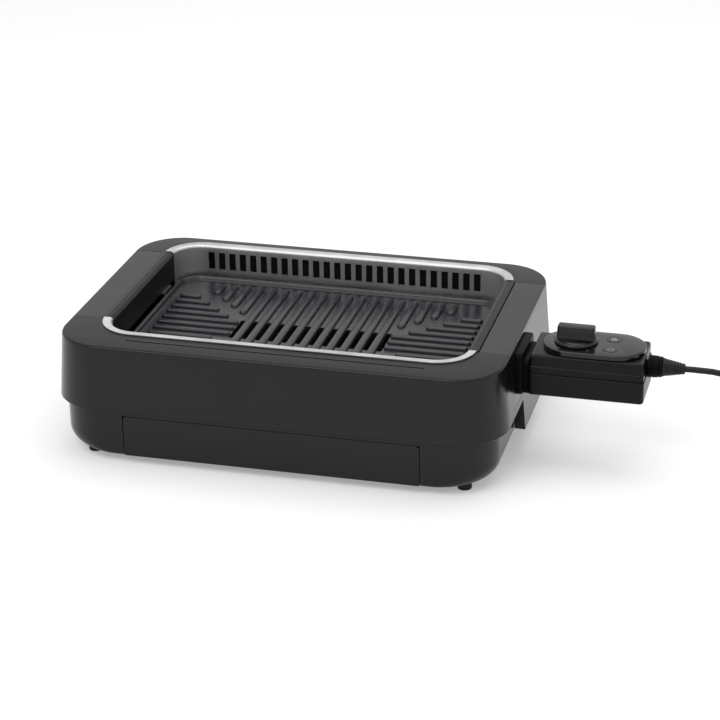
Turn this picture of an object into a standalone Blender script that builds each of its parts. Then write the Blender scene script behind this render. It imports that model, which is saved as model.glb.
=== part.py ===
"""Smokeless electric table grill: housing with a metal-lined cooking recess, a lift-out
ribbed plate between two side covers, a plug-in control unit, a drip drawer and a smoke fan.
Metres, +Z up. The origin is on the floor under the middle of the grill with its control unit."""
import bmesh
import bpy
from math import cos, hypot, pi, sin
from mathutils import Vector

for old in list(bpy.data.objects):
    bpy.data.objects.remove(old, do_unlink=True)

# General
CLEARANCE = 0.0003        # between pieces that touch, slide or screw together
OVERRUN = 0.010           # how far a cut runs past the face it opens
CORNER_STEPS = 5          # facets on a quarter of a plan corner
ROUND_SHARE = 0.29        # a round's middle lies this far in from both of its faces

# Housing, upper shell
TOP_WIDTH = 0.442
TOP_DEPTH = 0.303
HOUSING_TOP = 0.122
RIM_HEIGHT = 0.056        # lower edge of the upper shell
RIM_FLARE = 0.005         # the walls lean out by this much from the top to the rim
CORNER_RADIUS = 0.048
EDGE_ROUND = 0.0025
SHELL_WALL = 0.003
RIM_TURN_IN = 0.012       # the rim's turned-in floor that covers the base's edge
GROOVE_LENGTH = 0.296     # shallow groove in the front strip
GROOVE_WIDTH = 0.0022
GROOVE_DEPTH = 0.0010
GROOVE_FROM_FRONT = 0.020

# Lower base
BASE_BOTTOM = 0.008
BASE_SIDE_STEP = 0.009    # how far the base stands in from the rim, sides
BASE_FRONT_STEP = 0.0045
BASE_ROUND = 0.018        # large round along the sides' lower edge
BASE_FRONT_ROUND = 0.003
BASE_WALL = 0.003
FOOT_DIAMETER = 0.014
FOOT_FROM_SIDE = 0.030    # a foot's middle, from the base's side and front
FOOT_FROM_FRONT = 0.024
FOOT_PEG_DIAMETER = 0.006
FOOT_PEG_LENGTH = 0.0055
OUTLET_SLOT_WIDTH = 0.005
OUTLET_SLOT_PITCH = 0.010
OUTLET_SLOT_COUNT = 7
OUTLET_SLOT_HEIGHT = 0.022
OUTLET_SLOT_BOTTOM = 0.020

# Cooking recess and its metal liner
SIDE_STRIP = 0.042        # top of the housing from its edge to the liner's inner wall
FRONT_STRIP = 0.0415
REAR_STRIP = 0.0235
RECESS_RADIUS = 0.030
LINER_SHEET = 0.0012
FLANGE_WIDTH = 0.009
FLANGE_BEND = 0.003
LEDGE_HEIGHT = 0.080      # underside of the ledge that carries the plate
LEDGE_WIDTH = 0.007
VENT_COUNT = 26
VENT_PITCH = 0.0116
VENT_WIDTH = 0.007
VENT_BOTTOM = 0.097
VENT_HEIGHT = 0.019

# Side pockets and covers
COVER_FROM_FRONT = 0.028  # the covers' ends, from the recess's front and rear
COVER_FROM_REAR = 0.026
COVER_WALL = 0.003
COVER_BOTTOM = 0.064
TAB_LENGTH = 0.096
TAB_BOTTOM = 0.024
TAB_THICKNESS = 0.0084
POCKET_DEPTH = 0.015      # from the top's edge to the inner face of the low wall
POCKET_WALL_TOP = 0.074
LIP_OVERHANG = 0.0007     # the lips reach this far over the liner's inner wall
LIP_WIDTH = 0.0114
LIP_RISE = 0.0008
LIP_DEPTH = 0.0045
SKIRT_WALL = 0.0027
SKIRT_BOTTOM = 0.093
TONGUE_LENGTH = 0.005
TONGUE_THICKNESS = 0.0025

# Grill plate
PLATE_END_GAP = 0.003     # from the liner's walls to the plate, all round
PLATE_FRONT_GAP = 0.003
PLATE_REAR_GAP = 0.005
PLATE_RADIUS = 0.026
PLATE_THICKNESS = 0.0052
PLATE_DRAFT = 0.002
PLATE_RIM_WIDTH = 0.004
PLATE_RIM_HEIGHT = 0.0045
RIB_HEIGHT = 0.003
RIB_PITCH = 0.014
LONG_RIB_COUNT = 11
LONG_RIB_WIDTH = 0.009
SHORT_RIB_COUNT = 4       # on each side of the long ones, front and rear
CROSS_RIB_COUNT = 5       # above and below the middle one
CROSS_RIB_PITCH = 0.0145
CROSS_RIB_WIDTH = 0.0062
CROSS_RIB_INNER = 0.083
CROSS_RIB_FROM_END = 0.016
RIB_CREST_SHARE = 0.55
PATTERN_FORWARD = 0.009   # middle of the ribs and slots, ahead of the plate's middle
RIB_FROM_REAR = 0.019
RIB_FROM_FRONT = 0.009
SHORT_RIB_START = 0.044   # inner end of the first short rib, from the pattern's middle
SHORT_RIB_STEP = 0.0148
SLOT_WIDTH = 0.005
SLOT_LENGTH = 0.046

# Heating element and what carries it
ELEMENT_DIAMETER = 0.007
ELEMENT_FROM_LEFT = 0.036     # from the plate's edges to the middle of the loop's runs
ELEMENT_FROM_RIGHT = 0.046
ELEMENT_FROM_FRONT = 0.030
ELEMENT_FROM_REAR = 0.052
ELEMENT_BEND = 0.018
CLAMP_WIDTH = 0.010
CLAMP_WALL = 0.0025
CLAMP_FLOOR = 0.0015
BRACKET_LENGTH = 0.024
BRACKET_SHEET = 0.002
BRACKET_FROM_REAR = 0.030     # its middle, from the cover's rear end

# Socket on the plate, and the control unit's neck
SOCKET_FROM_COVER = 0.046     # its middle, from the cover's front end
SOCKET_WIDTH = 0.050
SOCKET_FROM_PLATE = 0.008
SOCKET_LENGTH = 0.018
SOCKET_BOTTOM = 0.0725
SOCKET_HEIGHT = 0.0345
TERMINAL_SPACING = 0.028
TERMINAL_DIAMETER = 0.004
TERMINAL_LENGTH = 0.032
PROBE_DIAMETER = 0.005
PROBE_RISE = 0.009        # the probe lies above the terminals
NECK_WIDTH = 0.052
NECK_BOTTOM = 0.073
NECK_HEIGHT = 0.0355
NECK_ROUND = 0.005
COLLAR_THICKNESS = 0.008  # wide collar on the neck, against the cover's wall
COLLAR_INSET = 0.001      # how far it stands in from the unit, front, rear and top
COLLAR_ROUND = 0.005
SLEEVE_DIAMETER = 0.007
SLEEVE_LENGTH = 0.024

# Control unit
UNIT_FROM_TOP = 0.0135    # its face towards the housing, from the top's edge
UNIT_LENGTH = 0.1115
UNIT_WIDTH = 0.062
UNIT_BOTTOM = 0.0755
UNIT_TOP = 0.117
UNIT_CORNER = 0.004
UNIT_EDGE = 0.002
UNIT_WALL = 0.0024
PARTING_HEIGHT = 0.098
PARTING_LEDGE = 0.0006
BAND_HEIGHT = 0.007       # upright band above the parting line
BAND_STEP = 0.001         # the top stands in from the band by this much
TOP_ROUND = 0.003
PANEL_LENGTH = 0.099
PANEL_WIDTH = 0.057
PANEL_THICKNESS = 0.005
PANEL_FROM_FACE = 0.0595  # middles, from the unit's face towards the housing
KNOB_FROM_FACE = 0.0415
BUTTON_FROM_FACE = 0.0765
KNOB_BASE_DIAMETER = 0.042
KNOB_BASE_HEIGHT = 0.004
KNOB_GRIP_LENGTH = 0.037
KNOB_GRIP_WIDTH = 0.012
KNOB_GRIP_HEIGHT = 0.0125
KNOB_SHAFT_DIAMETER = 0.006
BUTTON_SPACING = 0.024
BUTTON_DIAMETER = 0.012
BUTTON_RISE = 0.0015
BUTTON_TRAVEL = 0.001
BOARD_THICKNESS = 0.0016
BOARD_HEIGHT = 0.104
POT_DIAMETER = 0.016
SWITCH_SIDE = 0.006
GLAND_DIAMETER = 0.022
GLAND_LENGTH = 0.014
GLAND_NECK_DIAMETER = 0.012
CORD_HEIGHT = 0.1035

# Drip drawer
DRAWER_WIDTH = 0.296
DRAWER_BOTTOM = 0.0085
DRAWER_TOP = 0.0505
DRAWER_CORNER = 0.004
DRAWER_THICKNESS = 0.010
SLIDE_GAP = 0.0005        # beside pieces that slide or lift out
FINGER_WIDTH = 0.070
FINGER_DEPTH = 0.0065
FINGER_HEIGHT = 0.007
TRAY_FROM_SIDE = 0.007    # from the drawer front's end to the tray
TRAY_TO_FAN = 0.0179      # free space between the tray and the fan's case
TRAY_HEIGHT = 0.032
TRAY_WALL = 0.0016
TRAY_RADIUS = 0.012
RUNNER_WIDTH = 0.012
RUNNER_THICKNESS = 0.002
RUNNER_WEB = 0.010

# Reflector pan under the element
PAN_BOTTOM = 0.060
PAN_END_STEP = 0.015      # from the liner's walls in to the pan's
PAN_SIDE_STEP = 0.017
PAN_RADIUS = 0.020
PAN_SHEET = 0.001
PAN_FLANGE = 0.010
DRAIN_LENGTH = 0.150
DRAIN_WIDTH = 0.040

# Smoke duct and fan
DUCT_LENGTH = 0.306
DUCT_FROM_REAR = 0.0075   # from the top's rear edge to the duct
DUCT_WALL = 0.0015
DUCT_TOP = 0.1175
PLENUM_LENGTH = 0.084
PLENUM_DEPTH = 0.074
PLENUM_TOP = 0.0575
PLENUM_HEIGHT = 0.010
FAN_FROM_DUCT = 0.035     # the fan's axis, from the duct's rear face
FAN_DIAMETER = 0.062
FAN_HEIGHT = 0.014
FAN_HUB_DIAMETER = 0.020
FAN_BLADE_COUNT = 16
FAN_BLADE_THICKNESS = 0.0012
FAN_BLADE_LENGTH = 0.010
FAN_DISC_THICKNESS = 0.0015
FAN_RUNNING_GAP = 0.002
FAN_INLET_DIAMETER = 0.044
FAN_CASE_WALL = 0.0018
FAN_OUTLET_SHARE = 0.9    # of the case's width
MOTOR_DIAMETER = 0.028
MOTOR_HEIGHT = 0.012
MOTOR_SHAFT_DIAMETER = 0.003

# Cord and plug
CORD_DIAMETER = 0.006
BOOT_LENGTH = 0.021
BOOT_WIDE_DIAMETER = 0.018
BOOT_NARROW_DIAMETER = 0.010
COIL_DIAMETER = 0.070
COIL_AWAY = 0.1184        # the coil's middle, from the cord's start
COIL_BEHIND = 0.056
COIL_LOOPS = 6
COIL_SPACING = 0.0006     # free space between one turn and the next
COIL_TAIL = 0.038         # straight end of the coil, up to the plug
# Places on the way down: away from the cord's start, behind it, and above the floor
CORD_ROUTE = ((0.0324, 0.0003, 0.1022), (0.0484, 0.002, 0.094), (0.0579, 0.0043, 0.078),
              (0.0639, 0.0066, 0.058), (0.0699, 0.0086, 0.036), (0.0789, 0.0102, 0.0165),
              (0.0909, 0.0109, 0.0065))
PLUG_LENGTH = 0.032
PLUG_WIDTH = 0.024
PLUG_THICKNESS = 0.0186
PLUG_NOSE_DIAMETER = 0.010
PIN_LENGTH = 0.017
PIN_WIDTH = 0.006
PIN_THICKNESS = 0.0015
PIN_SPACING = 0.0127

# Derived places, in the housing's frame: X and Y from its middle, Z from the floor
RIM_HALF_X = TOP_WIDTH / 2 + RIM_FLARE
RIM_HALF_Y = TOP_DEPTH / 2 + RIM_FLARE
SIDE_SLOPE = RIM_FLARE / (HOUSING_TOP - RIM_HEIGHT)
BASE_TOP = RIM_HEIGHT - CLEARANCE
BASE_HALF_X = RIM_HALF_X - BASE_SIDE_STEP
BASE_HALF_Y = RIM_HALF_Y - BASE_FRONT_STEP
BASE_FLOOR = BASE_BOTTOM + BASE_WALL
BASE_RADIUS = CORNER_RADIUS - BASE_FRONT_STEP
FOOT_X = BASE_HALF_X - FOOT_FROM_SIDE
FOOT_Y = BASE_HALF_Y - FOOT_FROM_FRONT
FRONT_FACE = -BASE_HALF_Y
RECESS_FRONT = FRONT_STRIP - TOP_DEPTH / 2
RECESS_REAR = TOP_DEPTH / 2 - REAR_STRIP
RECESS_LENGTH = TOP_WIDTH - 2 * SIDE_STRIP
RECESS_WIDTH = RECESS_REAR - RECESS_FRONT
RECESS_SHIFT = (RECESS_FRONT + RECESS_REAR) / 2
FLANGE_BOTTOM = HOUSING_TOP + CLEARANCE
FLANGE_TOP = FLANGE_BOTTOM + LINER_SHEET
LEDGE_TOP = LEDGE_HEIGHT + LINER_SHEET
COVER_FRONT = RECESS_FRONT + COVER_FROM_FRONT
COVER_REAR = RECESS_REAR - COVER_FROM_REAR
COVER_MIDDLE = (COVER_FRONT + COVER_REAR) / 2
POCKET_WALL_X = TOP_WIDTH / 2 - POCKET_DEPTH      # inner face of the low wall behind a cover
LIP_INNER_X = RECESS_LENGTH / 2 - LIP_OVERHANG
LIP_OUTER_X = LIP_INNER_X + LIP_WIDTH
PLATE_FRONT = RECESS_FRONT + PLATE_FRONT_GAP
PLATE_REAR = RECESS_REAR - PLATE_REAR_GAP
PLATE_LENGTH = RECESS_LENGTH - 2 * PLATE_END_GAP
PLATE_WIDTH = PLATE_REAR - PLATE_FRONT
PLATE_SHIFT = (PLATE_FRONT + PLATE_REAR) / 2
PLATE_BOTTOM = LEDGE_TOP + CLEARANCE
PLATE_FLOOR = PLATE_BOTTOM + PLATE_THICKNESS
PLATE_TOP = PLATE_FLOOR + PLATE_RIM_HEIGHT
PATTERN_SHIFT = PLATE_SHIFT - PATTERN_FORWARD
RIB_REAR = PLATE_REAR - RIB_FROM_REAR
RIB_FRONT = PLATE_FRONT + RIB_FROM_FRONT
CROSS_RIB_OUTER = PLATE_LENGTH / 2 - CROSS_RIB_FROM_END
ELEMENT_Z = PLATE_BOTTOM - CLEARANCE - ELEMENT_DIAMETER / 2
SOCKET_X = PLATE_LENGTH / 2 + SOCKET_FROM_PLATE
SOCKET_Y = COVER_FRONT + SOCKET_FROM_COVER
TERMINAL_FRONT = SOCKET_Y - TERMINAL_SPACING / 2
TERMINAL_REAR = SOCKET_Y + TERMINAL_SPACING / 2
PROBE_Z = ELEMENT_Z + PROBE_RISE
SOCKET_END = SOCKET_X + SOCKET_LENGTH
NECK_START = SOCKET_END + CLEARANCE
UNIT_X = TOP_WIDTH / 2 + UNIT_FROM_TOP
UNIT_END = UNIT_X + UNIT_LENGTH
PANEL_X = UNIT_X + PANEL_FROM_FACE
KNOB_X = UNIT_X + KNOB_FROM_FACE
BUTTON_X = UNIT_X + BUTTON_FROM_FACE
PANEL_BOTTOM = UNIT_TOP + CLEARANCE
PANEL_TOP = PANEL_BOTTOM + PANEL_THICKNESS
GLAND_END = UNIT_END + GLAND_LENGTH
CORD_START = GLAND_END + BOOT_LENGTH + 2 * CLEARANCE
COIL_X = CORD_START + COIL_AWAY
COIL_Y = SOCKET_Y + COIL_BEHIND
TRAY_WIDTH = DRAWER_WIDTH - 2 * TRAY_FROM_SIDE
PAN_LENGTH = RECESS_LENGTH - 2 * PAN_END_STEP
PAN_WIDTH = RECESS_WIDTH - 2 * PAN_SIDE_STEP
DUCT_REAR = TOP_DEPTH / 2 - DUCT_FROM_REAR
PLENUM_FRONT = DUCT_REAR - PLENUM_DEPTH
FAN_Y = DUCT_REAR - FAN_FROM_DUCT
FAN_CASE_RADIUS = FAN_DIAMETER / 2 + 2 * FAN_RUNNING_GAP + FAN_CASE_WALL
HOUSING_X = -(GLAND_END - RIM_HALF_X) / 2     # puts the middle of the whole at the origin


def frame(name, x, y, z, parent=None):
    """An empty at a joint or reference place, given in the housing's frame."""
    empty = bpy.data.objects.new(name, None)
    bpy.context.scene.collection.objects.link(empty)
    empty.location = Vector((x, y, z))
    if parent is not None:
        empty.parent = parent
        empty.location -= home(parent)
    return empty


def home(empty):
    """Where an empty stands in the housing's frame."""
    place = Vector((0, 0, 0))
    while empty is not None and empty is not HOUSING:
        place += empty.location
        empty = empty.parent
    return place


def plan(half_x, half_y, radius, z, middle=(0, 0)):
    """Points of a rounded rectangle at one height, counter-clockwise from above."""
    radius = min(radius, half_x, half_y)
    points = []
    for quarter, (sx, sy) in enumerate(((1, -1), (1, 1), (-1, 1), (-1, -1))):
        for step in range(CORNER_STEPS + 1):
            angle = (quarter - 1 + step / CORNER_STEPS) * pi / 2
            x = middle[0] + sx * (half_x - radius) + radius * cos(angle)
            y = middle[1] + sy * (half_y - radius) + radius * sin(angle)
            points.append((x, y, z))
    return points


def circle(radius, z, middle=(0, 0), sides=24):
    return [(middle[0] + radius * cos(2 * pi * i / sides),
             middle[1] + radius * sin(2 * pi * i / sides), z) for i in range(sides)]


def solid(name, vertices, faces):
    mesh = bpy.data.meshes.new(name)
    mesh.from_pydata(vertices, [], faces)
    shape = bmesh.new()
    shape.from_mesh(mesh)
    bmesh.ops.recalc_face_normals(shape, faces=shape.faces)
    shape.to_mesh(mesh)
    shape.free()
    mesh.update()
    thing = bpy.data.objects.new(name, mesh)
    bpy.context.scene.collection.objects.link(thing)
    return thing


def stack(name, rings, closed=False):
    """A solid through rings of points: capped at both ends, or closed on itself."""
    count = len(rings[0])
    vertices = [point for ring in rings for point in ring]
    faces = []
    for level in range(len(rings) if closed else len(rings) - 1):
        low = level * count
        high = (level + 1) % len(rings) * count
        for i in range(count):
            j = (i + 1) % count
            faces.append((low + i, low + j, high + j, high + i))
    if not closed:
        faces.append(tuple(reversed(range(count))))
        faces.append(tuple(range((len(rings) - 1) * count, len(rings) * count)))
    return solid(name, vertices, faces)


def box(name, x0, x1, y0, y1, z0, z1):
    low = [(x0, y0, z0), (x1, y0, z0), (x1, y1, z0), (x0, y1, z0)]
    high = [(x0, y0, z1), (x1, y0, z1), (x1, y1, z1), (x0, y1, z1)]
    return stack(name, [low, high])


def prism(name, outline, start, end, axis="Y"):
    """An outline of (a, b) pairs pushed along one axis: (x, z) along Y, (y, z) along X."""
    if axis == "Y":
        rings = [[(a, place, b) for a, b in outline] for place in (end, start)]
    elif axis == "X":
        rings = [[(place, a, b) for a, b in outline] for place in (start, end)]
    else:
        rings = [[(a, b, place) for a, b in outline] for place in (start, end)]
    return stack(name, rings)


def rod(name, diameter, start, end, sides=16, end_diameter=None):
    """A round bar between two points, straight or tapered."""
    start, end = Vector(start), Vector(end)
    along = (end - start).normalized()
    side = along.orthogonal().normalized()
    other = along.cross(side)
    rings = []
    for place, width in ((start, diameter), (end, end_diameter or diameter)):
        rings.append([tuple(place + (side * cos(2 * pi * i / sides)
                                     + other * sin(2 * pi * i / sides)) * width / 2)
                      for i in range(sides)])
    return stack(name, rings)


def turned(name, profile, middle, sides=24):
    """A turned piece about a vertical axis: (radius, height) pairs from bottom to top."""
    return stack(name, [circle(radius, z, middle, sides) for radius, z in profile])


def tube(name, points, diameter, resolution=2):
    """A round tube along points, with filled ends."""
    curve = bpy.data.curves.new(name, "CURVE")
    curve.dimensions = "3D"
    spline = curve.splines.new("POLY")
    spline.points.add(len(points) - 1)
    for point, place in zip(spline.points, points):
        point.co = (*place, 1)
    curve.bevel_depth = diameter / 2
    curve.bevel_resolution = resolution
    curve.use_fill_caps = True
    thing = bpy.data.objects.new(name, curve)
    bpy.context.scene.collection.objects.link(thing)
    return thing


def combine(thing, others, operation="DIFFERENCE"):
    """Cut the others out of a piece, or join them to it."""
    for other in others:
        cutter = thing.modifiers.new(operation.lower(), "BOOLEAN")
        cutter.operation = operation
        cutter.solver = "EXACT"
        cutter.object = other
        graph = bpy.context.evaluated_depsgraph_get()
        mesh = bpy.data.meshes.new_from_object(thing.evaluated_get(graph))
        thing.modifiers.clear()
        thing.data = mesh
        bpy.data.objects.remove(other, do_unlink=True)
    return thing


def gather(name, things):
    """Separate solids under one name, such as a set of screws."""
    vertices, faces = [], []
    for thing in things:
        base = len(vertices)
        vertices += [tuple(vertex.co) for vertex in thing.data.vertices]
        faces += [tuple(base + i for i in face.vertices) for face in thing.data.polygons]
        bpy.data.objects.remove(thing, do_unlink=True)
    return solid(name, vertices, faces)


def mirrored(name, thing):
    """The left-hand twin of a right-hand piece."""
    vertices = [(-vertex.co.x, vertex.co.y, vertex.co.z) for vertex in thing.data.vertices]
    faces = [tuple(reversed(face.vertices)) for face in thing.data.polygons]
    return solid(name, vertices, faces)


def finish(thing, empty, colour, roughness, metallic=0.0, smooth=True):
    """Hang a piece on its empty, with its origin there, and give it its material."""
    place = home(empty)
    if thing.type == "MESH":
        for vertex in thing.data.vertices:
            vertex.co -= place
        if smooth:
            thing.data.shade_smooth()
            thing.data.set_sharp_from_angle(angle=pi / 6)
    else:
        for point in thing.data.splines[0].points:
            point.co = (*(point.co.xyz - place), 1)
    thing.parent = empty
    material = bpy.data.materials.new(thing.name)
    material.use_nodes = True
    shader = material.node_tree.nodes["Principled BSDF"]
    shader.inputs["Base Color"].default_value = (*colour, 1)
    shader.inputs["Roughness"].default_value = roughness
    shader.inputs["Metallic"].default_value = metallic
    thing.data.materials.clear()
    thing.data.materials.append(material)
    return thing


SATIN_BLACK = (0.022, 0.022, 0.024)
MATTE_GREY = (0.055, 0.055, 0.058)
BLACK = (0.012, 0.012, 0.013)
COATED = (0.045, 0.047, 0.052)
BRUSHED = (0.62, 0.62, 0.63)
STEEL = (0.50, 0.50, 0.52)
BRASS = (0.60, 0.45, 0.20)
BOARD_GREEN = (0.02, 0.12, 0.05)

HOUSING = frame("housing_frame", HOUSING_X, 0, 0)


def base_rings(wall):
    """The base's plan from its floor up to its top edge, `wall` inside its outer face."""
    rings = []
    for step in range(5):
        angle = step / 4 * pi / 2
        height = (BASE_ROUND - wall) * (1 - cos(angle))
        side = wall + (BASE_ROUND - wall) * (1 - sin(angle))
        front = wall + BASE_FRONT_ROUND * (1 - sin(angle))
        rings.append(plan(BASE_HALF_X - side, BASE_HALF_Y - front, BASE_RADIUS - wall,
                          BASE_BOTTOM + wall + height))
    rings.append(plan(BASE_HALF_X - wall, BASE_HALF_Y - wall, BASE_RADIUS - wall, BASE_TOP))
    return rings


base = stack("base_shell", base_rings(0) + base_rings(BASE_WALL)[::-1])
front_cut = box("cut", -DRAWER_WIDTH / 2 - SLIDE_GAP, DRAWER_WIDTH / 2 + SLIDE_GAP,
                FRONT_FACE - OVERRUN, FRONT_FACE + DRAWER_THICKNESS + SLIDE_GAP,
                BASE_BOTTOM - OVERRUN, DRAWER_TOP + SLIDE_GAP)
outlet_cuts = []
for i in range(OUTLET_SLOT_COUNT):
    x = (i - (OUTLET_SLOT_COUNT - 1) / 2) * OUTLET_SLOT_PITCH
    outlet_cuts.append(box("cut", x - OUTLET_SLOT_WIDTH / 2, x + OUTLET_SLOT_WIDTH / 2,
                           BASE_HALF_Y - OVERRUN, BASE_HALF_Y + OVERRUN,
                           OUTLET_SLOT_BOTTOM, OUTLET_SLOT_BOTTOM + OUTLET_SLOT_HEIGHT))
foot_places = [(sx * FOOT_X, sy * FOOT_Y) for sx in (-1, 1) for sy in (-1, 1)]
peg_cuts = [rod("cut", FOOT_PEG_DIAMETER + 2 * CLEARANCE, (x, y, BASE_BOTTOM - OVERRUN),
                (x, y, BASE_FLOOR + OVERRUN)) for x, y in foot_places]
combine(base, [front_cut, gather("cut", outlet_cuts), gather("cut", peg_cuts)])
finish(base, HOUSING, SATIN_BLACK, 0.4)

for (x, y), label in zip(foot_places, ("left_front", "left_rear", "right_front", "right_rear")):
    foot = turned("rubber_foot_" + label, [(FOOT_DIAMETER / 2, 0),
                                           (FOOT_DIAMETER / 2, BASE_BOTTOM - CLEARANCE),
                                           (FOOT_PEG_DIAMETER / 2, BASE_BOTTOM - CLEARANCE),
                                           (FOOT_PEG_DIAMETER / 2,
                                            BASE_BOTTOM + FOOT_PEG_LENGTH)], (x, y), 16)
    finish(foot, HOUSING, BLACK, 0.9)


def shell_ring(z, inset=0):
    """The upper shell's plan at a height, on its leaning walls."""
    lean = (HOUSING_TOP - z) * SIDE_SLOPE - inset
    return plan(TOP_WIDTH / 2 + lean, TOP_DEPTH / 2 + lean, CORNER_RADIUS + lean, z)


def side_face(z):
    """X of the right outer wall at a height."""
    return TOP_WIDTH / 2 + (HOUSING_TOP - z) * SIDE_SLOPE


def both_sides(name, x0, x1, y0, y1, z0, z1):
    """A box on the right and its twin on the left."""
    right = box(name, x0, x1, y0, y1, z0, z1)
    return gather(name, [mirrored(name, right), right])


outer = [shell_ring(RIM_HEIGHT)]
for step in range(4):
    angle = step / 3 * pi / 2
    outer.append(shell_ring(HOUSING_TOP - EDGE_ROUND * (1 - sin(angle)),
                            EDGE_ROUND * (1 - cos(angle))))
shell = stack("upper_shell", outer)
far_x = RIM_HALF_X + OVERRUN
pocket_front = COVER_FRONT - CLEARANCE
pocket_rear = COVER_REAR + CLEARANCE
pocket_end_x = RECESS_LENGTH / 2 + FLANGE_BEND + SLIDE_GAP
cavity = stack("cavity", [shell_ring(RIM_HEIGHT + SHELL_WALL, SHELL_WALL),
                          shell_ring(HOUSING_TOP - SHELL_WALL, SHELL_WALL)])
combine(cavity, [
    both_sides("keep", POCKET_WALL_X, far_x, pocket_front - SHELL_WALL,
               pocket_rear + SHELL_WALL, RIM_HEIGHT, HOUSING_TOP),
    both_sides("keep", pocket_end_x, far_x, pocket_front - SHELL_WALL, pocket_front,
               RIM_HEIGHT, HOUSING_TOP),
    both_sides("keep", pocket_end_x, far_x, pocket_rear, pocket_rear + SHELL_WALL,
               RIM_HEIGHT, HOUSING_TOP)])
bottom_opening = stack("opening", [
    plan(RIM_HALF_X - RIM_TURN_IN, RIM_HALF_Y - RIM_TURN_IN, CORNER_RADIUS - SHELL_WALL, z)
    for z in (RIM_HEIGHT - OVERRUN, RIM_HEIGHT + SHELL_WALL + SHELL_WALL / 2)])
top_opening = stack("opening", [
    plan(pocket_end_x, RECESS_WIDTH / 2 + FLANGE_BEND + SLIDE_GAP,
         RECESS_RADIUS + FLANGE_BEND, z, (0, RECESS_SHIFT))
    for z in (HOUSING_TOP - SHELL_WALL - SHELL_WALL / 2, HOUSING_TOP + OVERRUN)])
tab_inner_x = RIM_HALF_X - TAB_THICKNESS
tab_front = COVER_MIDDLE - TAB_LENGTH / 2
tab_rear = COVER_MIDDLE + TAB_LENGTH / 2
combine(shell, [
    cavity, bottom_opening, top_opening,
    both_sides("pocket", POCKET_WALL_X + SHELL_WALL, far_x, pocket_front, pocket_rear,
               COVER_BOTTOM - CLEARANCE, HOUSING_TOP + OVERRUN),
    both_sides("pocket", tab_inner_x - CLEARANCE, far_x, tab_front - CLEARANCE,
               tab_rear + CLEARANCE, RIM_HEIGHT - OVERRUN, COVER_BOTTOM),
    both_sides("pocket", LIP_INNER_X - OVERRUN, far_x, pocket_front, pocket_rear,
               POCKET_WALL_TOP, HOUSING_TOP + OVERRUN),
    box("neck_way", POCKET_WALL_X - OVERRUN, far_x, SOCKET_Y - NECK_WIDTH / 2 - COVER_WALL,
        SOCKET_Y + NECK_WIDTH / 2 + COVER_WALL, NECK_BOTTOM - COVER_WALL,
        HOUSING_TOP + OVERRUN),
    box("groove", -GROOVE_LENGTH / 2, GROOVE_LENGTH / 2,
        GROOVE_FROM_FRONT - TOP_DEPTH / 2, GROOVE_FROM_FRONT + GROOVE_WIDTH - TOP_DEPTH / 2,
        HOUSING_TOP - GROOVE_DEPTH, HOUSING_TOP + OVERRUN)])
finish(shell, HOUSING, SATIN_BLACK, 0.35)


def recess_ring(outward, z):
    return plan(RECESS_LENGTH / 2 + outward, RECESS_WIDTH / 2 + outward,
                RECESS_RADIUS + outward, z, (0, RECESS_SHIFT))


bend_drop = FLANGE_BEND - LINER_SHEET
liner = stack("metal_liner", [recess_ring(FLANGE_WIDTH, FLANGE_BOTTOM),
                              recess_ring(FLANGE_WIDTH, FLANGE_TOP),
                              recess_ring(FLANGE_BEND, FLANGE_TOP),
                              recess_ring(LINER_SHEET / 2, FLANGE_TOP - LINER_SHEET / 2),
                              recess_ring(0, FLANGE_TOP - FLANGE_BEND),
                              recess_ring(0, LEDGE_TOP),
                              recess_ring(-LEDGE_WIDTH, LEDGE_TOP),
                              recess_ring(-LEDGE_WIDTH, LEDGE_HEIGHT),
                              recess_ring(LINER_SHEET, LEDGE_HEIGHT),
                              recess_ring(LINER_SHEET, FLANGE_BOTTOM - bend_drop),
                              recess_ring(FLANGE_BEND, FLANGE_BOTTOM)], closed=True)
vents = []
for i in range(VENT_COUNT):
    x = (i - (VENT_COUNT - 1) / 2) * VENT_PITCH
    vents.append(box("vent", x - VENT_WIDTH / 2, x + VENT_WIDTH / 2,
                     RECESS_REAR - OVERRUN, RECESS_REAR + LINER_SHEET + OVERRUN,
                     VENT_BOTTOM, VENT_BOTTOM + VENT_HEIGHT))
socket_front = SOCKET_Y - SOCKET_WIDTH / 2
socket_rear = SOCKET_Y + SOCKET_WIDTH / 2
ledge_inner_x = RECESS_LENGTH / 2 - LEDGE_WIDTH
combine(liner, [gather("vents", vents),
                both_sides("notch", ledge_inner_x - LEDGE_WIDTH, far_x,
                           pocket_front, pocket_rear, LEDGE_TOP + LINER_SHEET,
                           FLANGE_TOP + OVERRUN),
                box("leg_way", ledge_inner_x - LEDGE_WIDTH, far_x, socket_front, socket_rear,
                    LEDGE_HEIGHT - OVERRUN, LEDGE_TOP + OVERRUN)])
finish(liner, HOUSING, BRUSHED, 0.3, 1.0)


def pan_ring(outward, z):
    return plan(PAN_LENGTH / 2 + outward, PAN_WIDTH / 2 + outward, PAN_RADIUS + outward, z,
                (0, RECESS_SHIFT))


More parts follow.
